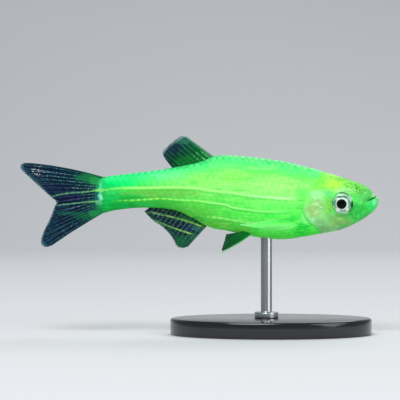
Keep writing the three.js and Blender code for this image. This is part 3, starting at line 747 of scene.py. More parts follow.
def fin_material(
    name, membrane, behind, rays, rim, lead, lines=(), line_colours=(), patches=(), glints=(), glow=0,
):
    """A fin's thin wet skin, dull with light rays in it."""
    material, add, shader = new_material(name)
    fin = fin_surface(add)
    share, last_colour = behind
    to_last = add("MapRange", {"Value": fin["front"], "From Min": 0.15, "From Max": 0.65, "To Max": share})
    colour = add("ValToRGB", {"Fac": fin["uneven_reach"]}, membrane)
    colour = lay_over(add, colour, [(to_last, last_colour)])
    colour = draw_rays(add, fin, colour, rays, patches)
    if lines:
        colour = draw_fin_lines(add, fin, colour, lines, line_colours)
    colour = draw_fin_edges(add, fin, colour, rim, lead)
    if glints:
        colour = draw_glints(add, fin, colour, glints)
    height = add("Math", {0: fin["joints"], 1: fin["ray"]}, operation="MULTIPLY")
    bump = add("Bump", {"Height": height, "Strength": 0.3, "Distance": 0.00004})
    # glow, where given, is painted glow in the fin's own colour
    set_inputs(shader, {
        "Base Color": colour, "Emission Color": colour, "Emission Strength": glow, "Roughness": 0.6,
        "Specular IOR Level": 0.06, "Normal": bump,
    })
    return material


IRIS_COLOURS = [
    (0.42, "#cdeed2"), (0.54, "#a6d6b2"), (0.6, "#80b096"), (0.64, "#5c8a76"), (0.68, "#98c8a6"),
    (0.8, "#9cd8a4"), (0.88, "#70cc74"), (0.95, "#54c45c"),
]
# Dark patches of the iris, then its bright ones. The thin dark arc along the top edge is painted shadow
# of the lid, and the two near-white patches just under the pupil are painted highlights.
IRIS_PATCHES = [
    (3.6, -0.65, 0.55, 0.8, 1, "#0c5028"), (6.2, -0.45, 0.45, 0.5, 0.75, "#4a8a7a"),
    (4.1, 0.4, 0.45, 0.35, 0.75, "#3f6c5c"), (5.3, 0.35, 0.5, 0.16, 0.8, "#4a7468"),
    # The first patch on the next line is painted shadow of the lid along the eye's top edge
    (4.9, 0.98, 1.1, 0.16, 0.5, "#3f7a56"), (4.9, -2, 1.3, 0.35, 1, "#5cb868"),
    (6.05, -1.4, 0.55, 0.5, 0.9, "#66b870"), (3.85, -1.5, 0.5, 0.55, 1, "#3c944c"),
    (4.15, -0.35, 0.22, 0.6, 0.7, "#5c9c78"), (5.1, -1.35, 0.22, 0.35, 0.6, "#88c49c"),
    # The second patch on the next line, and the first on the one after, are painted highlights
    (5, -1.62, 0.8, 0.25, 0.6, "#cce8d8"), (5.6, -1.28, 0.48, 0.34, 1, "#fdfff8"),
    (4.38, -1.24, 0.24, 0.36, 1, "#f4fcf0"), (5.5, 0.1, 0.5, 0.25, 0.85, "#eafbee"),
    (5.2, 0.7, 0.7, 0.2, 0.7, "#cdf4d4"), (4.4, 0.1, 0.3, 0.4, 0.35, "#d2f4da"),
    (3.9, 0.35, 0.5, 0.6, 0.7, "#c4f0cc"),
]
ARC_PLACE = (4.7, 0.75, 2, 1.3, 0.85)
ARC_PITCH = 0.42


def distance_from(add, where, spot):
    """How far a place is in side view from a point on the fish, in millimetres."""
    x, _, z = place(spot["back"], 0, spot["height"])
    moved = add("VectorMath", {0: where, 1: (x, 0, z)}, operation="SUBTRACT")
    flat = add("VectorMath", {0: moved, 1: (1 / MM, 0, 1 / MM)}, operation="MULTIPLY")
    return add("VectorMath", {0: flat}, out="Value", operation="LENGTH")


def eye_material():
    """Silvery iris round a black pupil, under a clear wet cornea."""
    material, add, shader = new_material("glossy eyeball, silver iris")
    where = add("TexCoord", out="Object")
    from_middle = distance_from(add, where, EYE)
    from_pupil = distance_from(add, where, PUPIL)
    streaks = add("TexNoise", {"Vector": where, "Scale": across(0.3), "Detail": 4})
    wander = wandering(add, streaks, 1)
    uneven = add("Math", {0: streaks, 1: 0.26, 2: -0.13}, operation="MULTIPLY_ADD")
    ragged = add("Math", {0: from_middle, 1: uneven}, operation="ADD")
    share = add("Math", {0: ragged, 1: 1 / EYE["radius"]}, operation="MULTIPLY")
    iris = add("ValToRGB", {"Fac": share}, IRIS_COLOURS)
    # Thin dark arcs lie round the pupil over the upper half of the iris
    x, _, z = place(PUPIL["back"], 0, PUPIL["height"])
    from_centre = add("VectorMath", {0: where, 1: (x, 0, z)}, operation="SUBTRACT")
    arcs = add("TexWave", {
        "Vector": from_centre, "Scale": BANDS_PER_SCALE * across(ARC_PITCH), "Distortion": 3, "Detail": 2,
        "Detail Scale": 2,
    }, out="Fac", wave_type="RINGS", rings_direction="Y")
    arc = add("MapRange", {"Value": arcs, "From Min": 0.7, "From Max": 0.95})
    arc_mask = add("Math", {0: arc, 1: patch_mask(add, where, wander, *ARC_PLACE)}, operation="MULTIPLY")
    edge = PUPIL["radius"]
    ring = add("MapRange", {
        "Value": from_pupil, "From Min": edge + 0.2, "From Max": edge + 0.08, "To Max": 0.4,
    }, interpolation_type="SMOOTHSTEP")
    pupil = add("MapRange", {"Value": from_pupil, "From Min": edge + 0.02, "From Max": edge - 0.02})
    colour = lay_over(add, iris, [
        *patch_coats(add, where, wander, IRIS_PATCHES), (arc_mask, "#2c5848"), (ring, "#e2f6e4"),
        (pupil, "#010202"),
    ])
    # The edge of the iris is given a painted glow like the skin's, lifting it out of the shade where the
    # eyeball curves away
    painted_glow_at_edge = add("MapRange", {"Value": share, "From Min": 0.75, "To Max": 0.45})
    set_inputs(shader, {
        "Base Color": colour, "Emission Color": colour, "Emission Strength": painted_glow_at_edge, "Roughness": 0.35,
        "Specular IOR Level": 0.05, "Coat Weight": 0.12, "Coat Roughness": 0.03,
    })
    return material


def plain_material(name, colour, roughness, grain, grain_size, inputs=None):
    """One even colour with a fine grain in its gloss and bump."""
    material, add, shader = new_material(name)
    where = add("TexCoord", out="Object")
    noise = add("TexNoise", {"Vector": where, "Scale": across(grain_size), "Detail": 3})
    rough = add("MapRange", {"Value": noise, "To Min": roughness * 0.8, "To Max": roughness * 1.2})
    bump = add("Bump", {"Height": noise, "Strength": grain, "Distance": 0.00002})
    set_inputs(shader, {
        "Base Color": colour, "Emission Color": colour, "Roughness": rough, "Normal": bump, **(inputs or {}),
    })
    return material


# The skin
RING_SIDES = 80
HEAD_RINGS = 40
TRUNK_RINGS = 26
HEAD_END = 10.6
FIRST_RING = 0.012
RING_CROWDING = 1.25
# Past the body, rings further back that shrink in width and height over the tail fin's root
TAIL_ROOT_TAPER = [
    (0.2, 0.8, 0.985), (0.45, 0.58, 0.965), (0.7, 0.38, 0.94), (0.95, 0.2, 0.91), (1.05, 0.08, 0.89),
]


def ring_stations():
    """Distances back of the skin's rings: crowded on the head, and closest at the round snout."""
    head = FIRST_RING + (HEAD_END - FIRST_RING) * np.linspace(0, 1, HEAD_RINGS) ** RING_CROWDING
    trunk = np.linspace(HEAD_END, BODY_LENGTH, TRUNK_RINGS)[1:]
    return [*head, *trunk]


def skin_cage():
    """The body, one ring of corners at a time, extruded back from the snout to the root of the tail."""
    rings = [(distance, *body_ring(distance)) for distance in ring_stations()]
    middle, side, up = body_ring(BODY_LENGTH)
    for past, width_share, height_share in TAIL_ROOT_TAPER:
        rings.append((BODY_LENGTH + past, middle, side * width_share, up * height_share))
    distance, middle, side, up = rings[0]
    nothing_selected()
    bpy.ops.mesh.primitive_circle_add(
        vertices=RING_SIDES, radius=MM, fill_type="NOTHING", location=place(distance, 0, middle),
        rotation=(0, math.pi / 2, 0),
    )
    skin = bpy.context.object
    bpy.ops.object.transform_apply(location=True, rotation=True, scale=True)
    editing(skin)
    bpy.ops.mesh.select_all(action="SELECT")
    bpy.ops.transform.resize(value=(1, side, up), center_override=place(distance, 0, middle))
    bpy.ops.mesh.edge_face_add()
    for (distance, middle, side, up), (next_back, next_middle, next_side, next_up) in zip(rings, rings[1:]):
        step = ((distance - next_back) * MM, 0, (next_middle - middle) * MM)
        growth = (1, next_side / side, next_up / up)
        bpy.ops.mesh.extrude_region_move(TRANSFORM_OT_translate={"value": step})
        bpy.ops.transform.resize(value=growth, center_override=place(next_back, 0, next_middle))
    bpy.ops.object.mode_set(mode="OBJECT")
    apply_modifier(skin, "SUBSURF", levels=2, render_levels=2)
    faces_outward(skin)
    return skin


# Folds of the head's skin: height, half-width, and how far off they run from their line, or round the eye
# from its middle. A groove's height is below zero.
LIP = (0.1, 0.14, 0.24)
MOUTH_SLIT = (-0.26, 0.09, 0)
SNOUT_SWELL = (0.2, 1, 1.6)  # off the tip of the lower jaw
JAW_SEAM = (-0.035, 0.18, 0)
GILL_RISE = 0.13
GILL_SLIT = (-0.05, 0.14, 0.1)
CHEEK_GROOVE = (-0.03, 0.14, 0.05)
CHEEK_RIDGE = (0.03, 0.24, -0.24)
PLATE_SEAM = (-0.045, 0.08, 0)
LID = (0.06, 0.12, 1.6)
LID_GROOVE = (-0.05, 0.16, 1.95)
LOWER_LID_FOLD = (0.03, 0.2, 2.35)
NOSTRIL_RIM = 0.07
NOSTRIL_DEPTH = 0.2
FAN_CENTRE = (7.5, 1.3)  # where the ridges of the gill cover meet
FAN_RIDGE = 0.012
FAN_TURNS = 46
EYE_SQUEEZE = 1.08  # the socket is this much taller than long
SOCKET_EDGE = (1.38, 1.54)
SOCKET_DEPTH = 0.4  # share of the half-width


def fold(away, height, width, off):
    return height * swell(away - off, width)


def mouth_folds(view):
    """Lips on both sides of a slit that grows shallow towards its corner, the snout and the jaw's edge."""
    distance, height = view.T
    mouth, share = line_distance(view, MOUTH_LINE)
    fade = 1 - 0.75 * soft_step(share, 0.55, 1)
    lift = (fold(np.abs(mouth), *LIP) + fold(mouth, *MOUTH_SLIT)) * fade
    lift += fold(distance, *SNOUT_SWELL) * soft_step(height, 0.5, 1.3)
    jaw, share = line_distance(view, JAW_BACK)
    return lift + fold(jaw, *JAW_SEAM) * (1 - soft_step(share, 0.5, 1))


def gill_folds(view):
    """The gill cover stands up from the flank behind it. Seams part its plates, and faint ridges fan out
    over it from its upper front corner."""
    distance, height = view.T
    gill, _ = line_distance(view, GILL_OPENING)
    cheek, _ = line_distance(view, CHEEK_EDGE)
    plate, share = line_distance(view, LOWER_PLATE_EDGE)
    on_side = (1 - soft_step(height, 1.6, 2.9)) * soft_step(height, -4.5, -3.7)
    raised = soft_step(gill, -3.6, -0.4) * (1 - soft_step(gill, -0.12, 0.02))
    lift = (GILL_RISE * raised + fold(gill, *GILL_SLIT)) * on_side
    lift += fold(cheek, *CHEEK_GROOVE) + fold(cheek, *CHEEK_RIDGE)
    lift += fold(plate, *PLATE_SEAM) * (1 - soft_step(share, 0.85, 1))
    fan = np.arctan2(height - FAN_CENTRE[1], distance - FAN_CENTRE[0])
    from_fan = np.hypot(distance - FAN_CENTRE[0], height - FAN_CENTRE[1])
    on_cover = soft_step(cheek, 0, 0.4) * (1 - soft_step(gill, -0.6, -0.2)) * on_side
    return lift + FAN_RIDGE * np.sin(fan * FAN_TURNS) * soft_step(from_fan, 0.6, 1.6) * on_cover


def nostril_folds(view):
    """Each nostril is a pit with a raised rim."""
    lift = np.zeros(len(view))
    for back, up, radius in NOSTRILS:
        away = np.hypot(view[:, 0] - back, view[:, 1] - up)
        lift += fold(away, NOSTRIL_RIM, radius * 0.6, radius * 1.5)
        lift -= NOSTRIL_DEPTH * (1 - soft_step(away, radius * 0.4, radius * 1.2))
    return lift


def carve_head(skin):
    """Every feature of the head is a swelling or a groove of the skin along its own normals."""
    places = read_vectors(skin.data)
    view = side_view(places)
    from_eye = np.hypot((view[:, 0] - EYE["back"]) * EYE_SQUEEZE, view[:, 1] - EYE["height"])
    below = view[:, 1] < 0
    lids = fold(from_eye, *LID) + fold(from_eye, *LID_GROOVE) + fold(from_eye, *LOWER_LID_FOLD) * below
    lift = mouth_folds(view) + gill_folds(view) + nostril_folds(view) + lids
    places += read_vectors(skin.data, "normal") * (lift * MM)[:, None]
    # Inside the lids the skin drops straight in, under the eyeball
    places[:, 1] *= 1 - SOCKET_DEPTH * (1 - soft_step(from_eye, *SOCKET_EDGE))
    write_places(skin.data, places)


def build_skin():
    skin = skin_cage()
    carve_head(skin)
    paint(skin.data, body_marks(read_vectors(skin.data)))
    skin.data.shade_smooth()
    settle(
        skin, "skin", body_material("wet fish skin, fluorescent green", False),
        ("head", "lower_jaw", "trunk_front", "trunk_rear", "tail_stalk", "gill_cover_right",
         "gill_cover_left"),
    )


# The scales lie in rows along the body, counted up and down from its widest line
SCALE_PITCH = 0.87
SCALE_REACH = 0.84  # half a scale's length, times the pitch
SCALE_SPREAD = 0.82  # half a scale's height, times the spacing of its rows
SCALE_HEIGHT = 0.12
SCALE_TILT = 0.05  # how far the free edge stands off
SCALE_LIFT = 0.004
SIZE_CHANCE = 0.04  # how far a scale's size may stray, as a share, and its place round the body
SLIP_CHANCE = 0.02
ROOT_BACK = 0.12
ROW_PITCH = 0.98  # spacing of the rows at mid-body, and how much less it is on the stalk
ROW_CLOSING = 0.22
SCALES_FROM = HEAD_END - 4
SCALES_TO = BODY_LENGTH - 0.35
SCALE_ROWS_UP = 7
SCALE_ROWS_DOWN = 6
# One scale, as shares of half its length: a rim that rises from the edge, a low dome and a wall below
SCALE_SIDES = 14
RIM_WIDTH = 0.09
RIM_RISE = 0.09
DOME_WIDTH = 0.4
DOME_RISE = 0.05
WALL_DEPTH = 0.2
STATIONS = np.linspace(0.05, BODY_LENGTH, 160)
RINGS = np.array([body_ring(distance) for distance in STATIONS])
ARC_STEPS = 48
TURN_STEPS = 90
# The scales' map: the size of one scale on it, its margin, the body's length, how far each side's widest
# line is from the map's middle, and the millimetres of skin that its height would hold
PATCH_SIZE = 0.003
MAP_MARGIN = 0.02
MAP_LENGTH = 0.96
MAP_SIDE = 0.245
MAP_HEIGHT = 40


def row_pitch(distance):
    """Spacing of the scale rows round the body: widest at mid-body, closer on the stalk."""
    return ROW_PITCH - ROW_CLOSING * soft_step(distance, 20, 36)


def arc_tables():
    """For each station, the length of skin from the widest line up to the back and down to the belly,
    and the angles round the ring at even steps of that length."""
    tables = {}
    turn = np.linspace(0, math.pi / 2, TURN_STEPS)
    for way in (1, -1):
        lengths, angles = [], []
        for _, side, up in RINGS:
            steps = np.hypot(np.diff(side * np.cos(turn)), np.diff(up * np.sin(turn)))
            travelled = np.r_[0, np.cumsum(steps)]
            lengths.append(travelled[-1])
            angles.append(np.interp(np.linspace(0, travelled[-1], ARC_STEPS), travelled, turn) * way)
        tables[way] = (np.array(lengths), np.array(angles))
    return tables


def on_skin(distance, arc, side, lift, tables):
    """Places on the body, from the distance back and the length of skin above the widest line.
    What passes the back or the belly goes on down the other side."""
    out_places = np.empty((len(distance), 3))
    for way in (1, -1):
        chosen = (arc >= 0) if way > 0 else (arc < 0)
        lengths, angles = tables[way]
        d, s = distance[chosen], np.abs(arc[chosen])
        whole = np.interp(d, STATIONS, lengths)
        over = s > whole
        share = np.where(over, 2 * whole - s, s) / whole
        row = np.clip((d - STATIONS[0]) / (STATIONS[1] - STATIONS[0]), 0, len(STATIONS) - 1.001)
        column = np.clip(share * (ARC_STEPS - 1), 0, ARC_STEPS - 1.001)
        i, j = row.astype(int), column.astype(int)
        u, v = row - i, column - j
        angle = (angles[i, j] * (1 - u) * (1 - v) + angles[i + 1, j] * u * (1 - v)
                 + angles[i, j + 1] * (1 - u) * v + angles[i + 1, j + 1] * u * v)
        middle, wide, up = [np.interp(d, STATIONS, RINGS[:, k]) for k in range(3)]
        flip = np.where(over, -1, 1) * side[chosen]
        normal_side, normal_up = np.cos(angle) / wide, np.sin(angle) / up
        off = lift[chosen] / np.hypot(normal_side, normal_up)
        y = (wide * np.cos(angle) + off * normal_side) * flip
        z = middle + up * np.sin(angle) + off * normal_up
        out_places[chosen] = np.column_stack(place(d, y, z))
    return out_places


def scale_template():
    """One scale lying flat: +X towards its free edge, its middle a little domed."""
    nothing_selected()
    bpy.ops.mesh.primitive_circle_add(vertices=SCALE_SIDES, radius=1, fill_type="NGON", location=(0, 0, 0))
    scale = bpy.context.object
    editing(scale)
    bpy.ops.mesh.select_all(action="SELECT")
    bpy.ops.mesh.inset(thickness=RIM_WIDTH)
    bpy.ops.transform.translate(value=(0, 0, RIM_RISE))
    bpy.ops.mesh.inset(thickness=DOME_WIDTH)
    bpy.ops.transform.translate(value=(0, 0, DOME_RISE))
    bpy.ops.mesh.poke()
    pick(scale, "EDGE", lambda edge: all(abs(corner.z) < 0.01 for corner in edge_corners(scale, edge)))
    bpy.ops.mesh.extrude_edges_move(TRANSFORM_OT_translate={"value": (0, 0, -WALL_DEPTH)})
    bpy.ops.mesh.edge_face_add()
    bpy.ops.object.mode_set(mode="OBJECT")
    corners = read_vectors(scale.data)
    faces = [tuple(face.vertices) for face in scale.data.polygons]
    bpy.data.objects.remove(scale)
    return corners, faces


def scale_roots(tables):
    """Where each scale sits: distance back, length of skin from the widest line, spacing of its row."""
    roots = []
    for row in range(-SCALE_ROWS_DOWN, SCALE_ROWS_UP + 1):
        distance = SCALES_FROM + (SCALE_PITCH / 2 if row % 2 else 0)
        while distance < SCALES_TO:
            pitch = row_pitch(distance)
            arc = row * pitch
            whole = np.interp(distance, STATIONS, tables[1 if arc >= 0 else -1][0])
            spot = on_skin(np.array([distance]), np.array([arc]), np.ones(1), np.zeros(1), tables)
            behind_gill, _ = line_distance(side_view(spot), GILL_OPENING)
            if abs(arc) < whole - 0.02 and behind_gill[0] > 0.3:
                roots.append((distance, arc, pitch))
            distance += SCALE_PITCH * (1 - 0.12 * soft_step(distance, 28, 37))
    return roots


def spread_uv(mesh, corners, faces, scales):
    """Each scale gets a small patch of its own at its root's place on the body unrolled."""
    layer = mesh.uv_layers.new(name="OFBake")
    local = (corners[:, :2] / 2) * PATCH_SIZE
    order = np.concatenate(faces)
    reverse = np.concatenate([face[::-1] for face in faces])
    coordinates = []
    for back, up, side in scales[:, :3]:
        middle = (back / BODY_LENGTH * MAP_LENGTH + MAP_MARGIN, 0.5 + side * (MAP_SIDE + up / MAP_HEIGHT))
        coordinates.append(middle + local[order if side > 0 else reverse])
    layer.data.foreach_set("uv", np.concatenate(coordinates).ravel())


def build_scales():
    tables = arc_tables()
    corners, faces = scale_template()
    chance = np.random.default_rng(7)
    # Each scale's root, side and row, then its own size, slip round the body and depth of green
    scales = np.array([
        (back, up, side, pitch, 1 + chance.uniform(-SIZE_CHANCE, SIZE_CHANCE),
         chance.uniform(-SLIP_CHANCE, SLIP_CHANCE), chance.uniform(0, 1))
        for back, up, pitch in scale_roots(tables)
        for _, side in reversed(SIDES)
    ])
    back, up, side, pitch, size, slip, tone = scales.T[:, :, None]
    x, y, z = corners.T
    distance = back + ROOT_BACK + x * (SCALE_PITCH * SCALE_REACH * size)
    arc = up + y * (pitch * SCALE_SPREAD * size) + slip
    lift = np.tile(SCALE_TILT * (x + 1) / 2 + z * SCALE_HEIGHT + SCALE_LIFT, len(scales))
    places = on_skin(distance.ravel(), arc.ravel(), np.repeat(side, len(corners)), lift, tables)
    flipped = [face[::-1] for face in faces]
    all_faces = [
        tuple(i * len(corners) + v for v in face)
        for i, way in enumerate(side.ravel())
        for face in (faces if way > 0 else flipped)
    ]
    mesh = bpy.data.meshes.new("scales")
    mesh.from_pydata(places.tolist(), [], all_faces)
    rim = np.where(z > -0.01, np.hypot(x, y) * soft_step(x, -0.3, 0.5), 1)
    marks = {"rim": np.tile(rim, len(scales)), "tone": np.repeat(tone, len(corners)), **body_marks(places)}
    paint(mesh, marks)
    spread_uv(mesh, corners, faces, scales)
    piece = bpy.data.objects.new("scales", mesh)
    bpy.context.scene.collection.objects.link(piece)
    select_only(piece)
    bpy.ops.object.shade_smooth_by_angle(angle=math.radians(28))
    settle(piece, "scales", body_material("wet scales, fluorescent green", True), ())


# The fins: root and margin from the first ray to the last, as distance back, distance out and height.
# bow curves the first and last ray, notch draws the membrane in between the ray tips.
FINS = {
    "dorsal_fin": {
        "root": [(21.6, 0, 5.5), (24.5, 0, 4.5), (27.4, 0, 4)],
        "margin": [(25.75, 0, 8.55), (26.7, 0, 8.45), (28.6, 0, 6.9), (28.9, 0, 6.15), (28.6, 0, 5.55)],
        "rays": 10,
    },
    "anal_fin": {
        "root": [(22.8, 0, -3.3), (24.6, 0, -2.2), (26.9, 0, -1.1), (30.3, 0, -0.75)],
        "margin": [(25.65, 0, -6.4), (26.4, 0, -6.5), (27.05, 0, -6.25), (27.45, 0, -5.5), (28, 0, -4.65),
                   (28.95, 0, -3.65), (30.2, 0, -2.8), (31.4, 0, -1.55)],
        "rays": 14, "notch": 0.05,
    },
    "tail_fin_upper": {
        "root": [(36.4, 0, 2.95), (36.4, 0, 0.6)],
        "margin": [(46.9, 0, 4.97), (47.75, 0, 4.9), (48.05, 0, 4.4), (47.6, 0, 3.75), (46, 0, 2.3),
                   (43.2, 0, -0.25)],
        "rays": 10, "bow": [(0, 0, 0.3), (0, 0, 0)],
    },
    "tail_fin_lower": {
        "root": [(36.5, 0, -1.55), (36.4, 0, 0.6)],
        "margin": [(43.8, 0, -6.12), (44.4, 0, -6.33), (45, 0, -6.2), (45.28, 0, -5.6), (45, 0, -4.5),
                   (44, 0, -2.4), (43.2, 0, -0.25)],
        "rays": 10, "bow": [(0, 0, 0.12), (0, 0, 0)],
    },
    "pelvic_fin": {
        "root": [(16.8, 0.8, -4.45), (18.1, 0.95, -4.2)],
        "margin": [(20.95, 1.75, -7.05), (20.95, 1.72, -6.6), (20.6, 1.62, -5.5), (20.4, 1.5, -4.65)],
        "rays": 7, "bow": [(0, 0, -0.22), (0, 0, 0)],
    },
    "pectoral_fin": {
        "root": [(10.7, 1.95, -2.3), (10.65, 1.55, -3.4)],
        "margin": [(18.7, 3.67, -3.3), (17, 3.53, -3.6), (14.2, 3.01, -3.92), (12.3, 2.5, -3.92)],
        "rays": 10, "bow": [(0, 0.42, 0.16), (0, 0.42, 0.05)], "root_half": 0.1,
    },
}
STRAIGHT = [(0, 0, 0), (0, 0, 0)]
ROOT_HALF = 0.2  # half the thickness of a fin at its root and at its margin
MARGIN_HALF = 0.035
RAY_HEIGHT = 0.09  # of a ray's ridge, with the share of it that is gone at the margin
RAY_FALL = 0.65
LEAD_HEIGHT = 0.05  # more for the first ray
LEAD_FALL = 0.7
LEAD_WIDTH = 0.02
NOTCH = 0.018
WAVE_HEIGHT = 0.09
WAVE_TURNS = (9, 5)  # radians of the wave from the first ray to the last, and from root to margin
COLUMNS_PER_RAY = 14
FIN_ROWS = 44
FIRST_FORK = 0.4  # where along its length a ray splits in two, and then in four
SECOND_FORK = 0.7
# Over the spacing of the rays: how far their branches part at the margin, half a ray's width at its root,
# and how much of that is gone at the margin
FORK_SPREAD = 0.24
TWIG_SPREAD = 0.1
RAY_WIDTH = 0.13
RAY_NARROWING = 0.06


def ray_ridges(reach, front, rays):
    """How much of a ray's crest each place on a fin is, from 0 between rays to 1 on one."""
    turn = front * (rays - 1)
    off = turn - np.round(turn)
    inner = (np.round(turn) > 0) & (np.round(turn) < rays - 1)
    fork = np.where(inner, FORK_SPREAD * soft_step(reach, FIRST_FORK, 1), 0)
    twig = np.where(inner, TWIG_SPREAD * soft_step(reach, SECOND_FORK, 1), 0)
    width = RAY_WIDTH - RAY_NARROWING * reach
    return np.max([
        swell(off - branch * fork - sprig * twig, width) for branch in (-1, 1) for sprig in (-1, 1)
    ], axis=0)


def fin_sheet(sizes, front, reach, ray, side):
    """Places on the middle of the membrane, each a share of the way from root to margin."""
    samples = np.linspace(0, 1, 200)
    edges = []
    for edge in ("root", "margin"):
        line = smooth_curve(sizes[edge], len(samples))
        edges.append(np.column_stack([np.interp(front, samples, line[:, k]) for k in range(3)]))
    root, margin = edges
    # The membrane draws back a little between the ray tips
    stretch = reach * (1 - sizes.get("notch", NOTCH) * (1 - ray) * soft_step(reach, 0.8, 1))
    sheet = root + (margin - root) * stretch[:, None]
    first_bow, last_bow = np.array(sizes.get("bow", STRAIGHT), float)
    sheet += (first_bow + (last_bow - first_bow) * front[:, None]) * (4 * reach * (1 - reach))[:, None]
    # Slow waves run out along the membrane, and its first and last rays stay straight
    wave = np.sin(front * WAVE_TURNS[0] + reach * WAVE_TURNS[1])
    sheet[:, 1] += WAVE_HEIGHT * reach * wave * 4 * front * (1 - front)
    return np.column_stack(place(sheet[:, 0], sheet[:, 1] * side, sheet[:, 2]))


def build_fin(kind, material, suffix="", side=1):
    """One thin sheet from root to margin, thickened along its rays."""
    sizes = FINS[kind]
    columns = (sizes["rays"] - 1) * COLUMNS_PER_RAY
    nothing_selected()
    bpy.ops.mesh.primitive_grid_add(
        x_subdivisions=columns, y_subdivisions=FIN_ROWS, size=1, location=(0, 0, 0),
    )
    fin = bpy.context.object
    mesh = fin.data
    front, reach, _ = read_vectors(mesh).T + 0.5
    ray = ray_ridges(reach, front, sizes["rays"])
    write_places(mesh, fin_sheet(sizes, front, reach, ray, side))
    root_half = sizes.get("root_half", ROOT_HALF)
    half = root_half + (MARGIN_HALF - root_half) * np.sqrt(reach) + RAY_HEIGHT * ray * (1 - RAY_FALL * reach)
    half += LEAD_HEIGHT * swell(front, LEAD_WIDTH) * (1 - LEAD_FALL * reach)
    most = ROOT_HALF + RAY_HEIGHT + LEAD_HEIGHT
    thickness = fin.vertex_groups.new(name="thickness")
    for i, share in enumerate(half / most):
        thickness.add([i], float(share), "REPLACE")
    paint(mesh, {"reach": reach, "front": front, "ray": ray})
    apply_modifier(
        fin, "SOLIDIFY", thickness=2 * most * MM, offset=0, vertex_group="thickness", use_even_offset=False,
    )
    faces_outward(fin)
    fin.data.shade_smooth()
    settle(fin, kind + "_render" + suffix, material, (kind + suffix,))


def build_fins():
    finishes = {kind: fin_material(**looks) for kind, looks in FIN_FINISHES.items()}
    build_fin("dorsal_fin", finishes["dorsal"])
    build_fin("anal_fin", finishes["anal"])
    build_fin("tail_fin_upper", finishes["tail"])
    build_fin("tail_fin_lower", finishes["tail"])
    for name, side in SIDES:
        build_fin("pelvic_fin", finishes["pelvic"], "_" + name, side)
        build_fin("pectoral_fin", finishes["pectoral"], "_" + name, side)


def build_eyes():
    material = eye_material()
    for name, side in SIDES:
        nothing_selected()
        bpy.ops.mesh.primitive_uv_sphere_add(
            segments=64, ring_count=40, radius=EYE["radius"] * MM, rotation=(math.pi / 2, 0, 0),
            location=place(EYE["back"], side * EYE["out"], EYE["height"]),
        )
        eye = bpy.context.object
        bpy.ops.object.transform_apply(location=False, rotation=True, scale=False)
        eye.scale = (EYE["length_share"], EYE["depth"] / EYE["radius"], 1)
        bpy.ops.object.transform_apply(location=True, rotation=False, scale=True)
        # The lens bulges a little out of the pupil
        places = read_vectors(eye.data)
        view = side_view(places)
        away = np.hypot(view[:, 0] - PUPIL["back"], view[:, 1] - PUPIL["height"])
        outward = places[:, 1] * side > EYE["out"] * MM
        bulge = PUPIL["bulge"] * np.clip(1 - (away / (PUPIL["radius"] * PUPIL["bulge_reach"])) ** 2, 0, 1)
        places[:, 1] += side * bulge * MM * outward
        write_places(eye.data, places)
        eye.data.shade_smooth()
        settle(eye, "eye_render_" + name, material, ("eye_" + name,))


BARBELS = {
    "barbel_snout": {"line": [(1.15, 0.5, 0.95), (1.3, 1.2, 0.85), (1.75, 1.8, 0.55), (2.5, 2.25, 0.3)],
                     "colour": "#48c458"},
    "barbel_jaw": {"line": [(2.2, 1.15, -0.7), (2.7, 2.05, -1.35), (3.7, 2.45, -2.1), (4.9, 2.6, -2.75)],
                   "colour": "#32b048"},
}
BARBEL_ROOT = 0.11  # radius
BARBEL_TIP = 0.04
BARBEL_STEPS = 22


def build_barbel(kind, sizes, material, name, side):
    nothing_selected()
    bpy.ops.curve.primitive_nurbs_path_add(location=(0, 0, 0))
    curve = bpy.context.object.data
    curve.splines.clear()
    spline = curve.splines.new("POLY")
    line = smooth_curve([(d, side * out, h) for d, out, h in sizes["line"]], BARBEL_STEPS)
    spline.points.add(len(line) - 1)
    for i, (point, spot) in enumerate(zip(spline.points, line)):
        point.co = (*place(*spot), 1)
        share = i / (len(line) - 1)
        point.radius = (BARBEL_ROOT + (BARBEL_TIP - BARBEL_ROOT) * share ** 0.8) / BARBEL_ROOT
    curve.bevel_depth = BARBEL_ROOT * MM
    curve.bevel_resolution = 4
    curve.use_fill_caps = True
    bpy.ops.object.convert(target="MESH")
    barbel = bpy.context.object
    faces_outward(barbel)
    barbel.data.shade_smooth()
    settle(barbel, kind + "_render_" + name, material, (kind + "_" + name,))


def build_barbels():
    for kind, sizes in BARBELS.items():
        # Bare skin, as green as the head round it and without its shine, with a painted glow like the skin's
        glow = {"Emission Strength": 0.2, "Specular IOR Level": 0.1}
        material = plain_material(kind + " skin", sizes["colour"], 0.7, 0.3, 0.11, glow)
        for name, side in SIDES:
            build_barbel(kind, sizes, material, name, side)


# The stand
BASE_BEVEL = 0.35
ROD_SHARE = 0.75 / 1.6  # the shaft's radius over the foot's
ROD_BEVEL = 0.12
FOOT_HEIGHT = 0.8
FOOT_SINK = 0.3  # the foot sits this deep in the base
ROD_INTO_BELLY = 0.6
SMOOTH_ANGLE = math.radians(35)


def build_base():
    low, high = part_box("stand_base")
    nothing_selected()
    bpy.ops.mesh.primitive_cylinder_add(
        vertices=128, radius=0.5, depth=high.z - low.z, location=(low + high) / 2,
    )
    base = bpy.context.object
    base.scale = (high.x - low.x, high.y - low.y, 1)
    bpy.ops.object.transform_apply(location=True, rotation=True, scale=True)
    apply_modifier(base, "BEVEL", width=BASE_BEVEL * MM, segments=4, limit_method="ANGLE")
    base.data.shade_smooth()
    bpy.ops.object.shade_smooth_by_angle(angle=SMOOTH_ANGLE)
    # Cast and polished, so nearly a mirror for the lights
    acrylic = plain_material("polished black acrylic", "#15171a", 0.16, 0.05, 1.1, {"Coat Weight": 0.4})
    settle(base, "stand_base_render", acrylic, ("stand_base",))


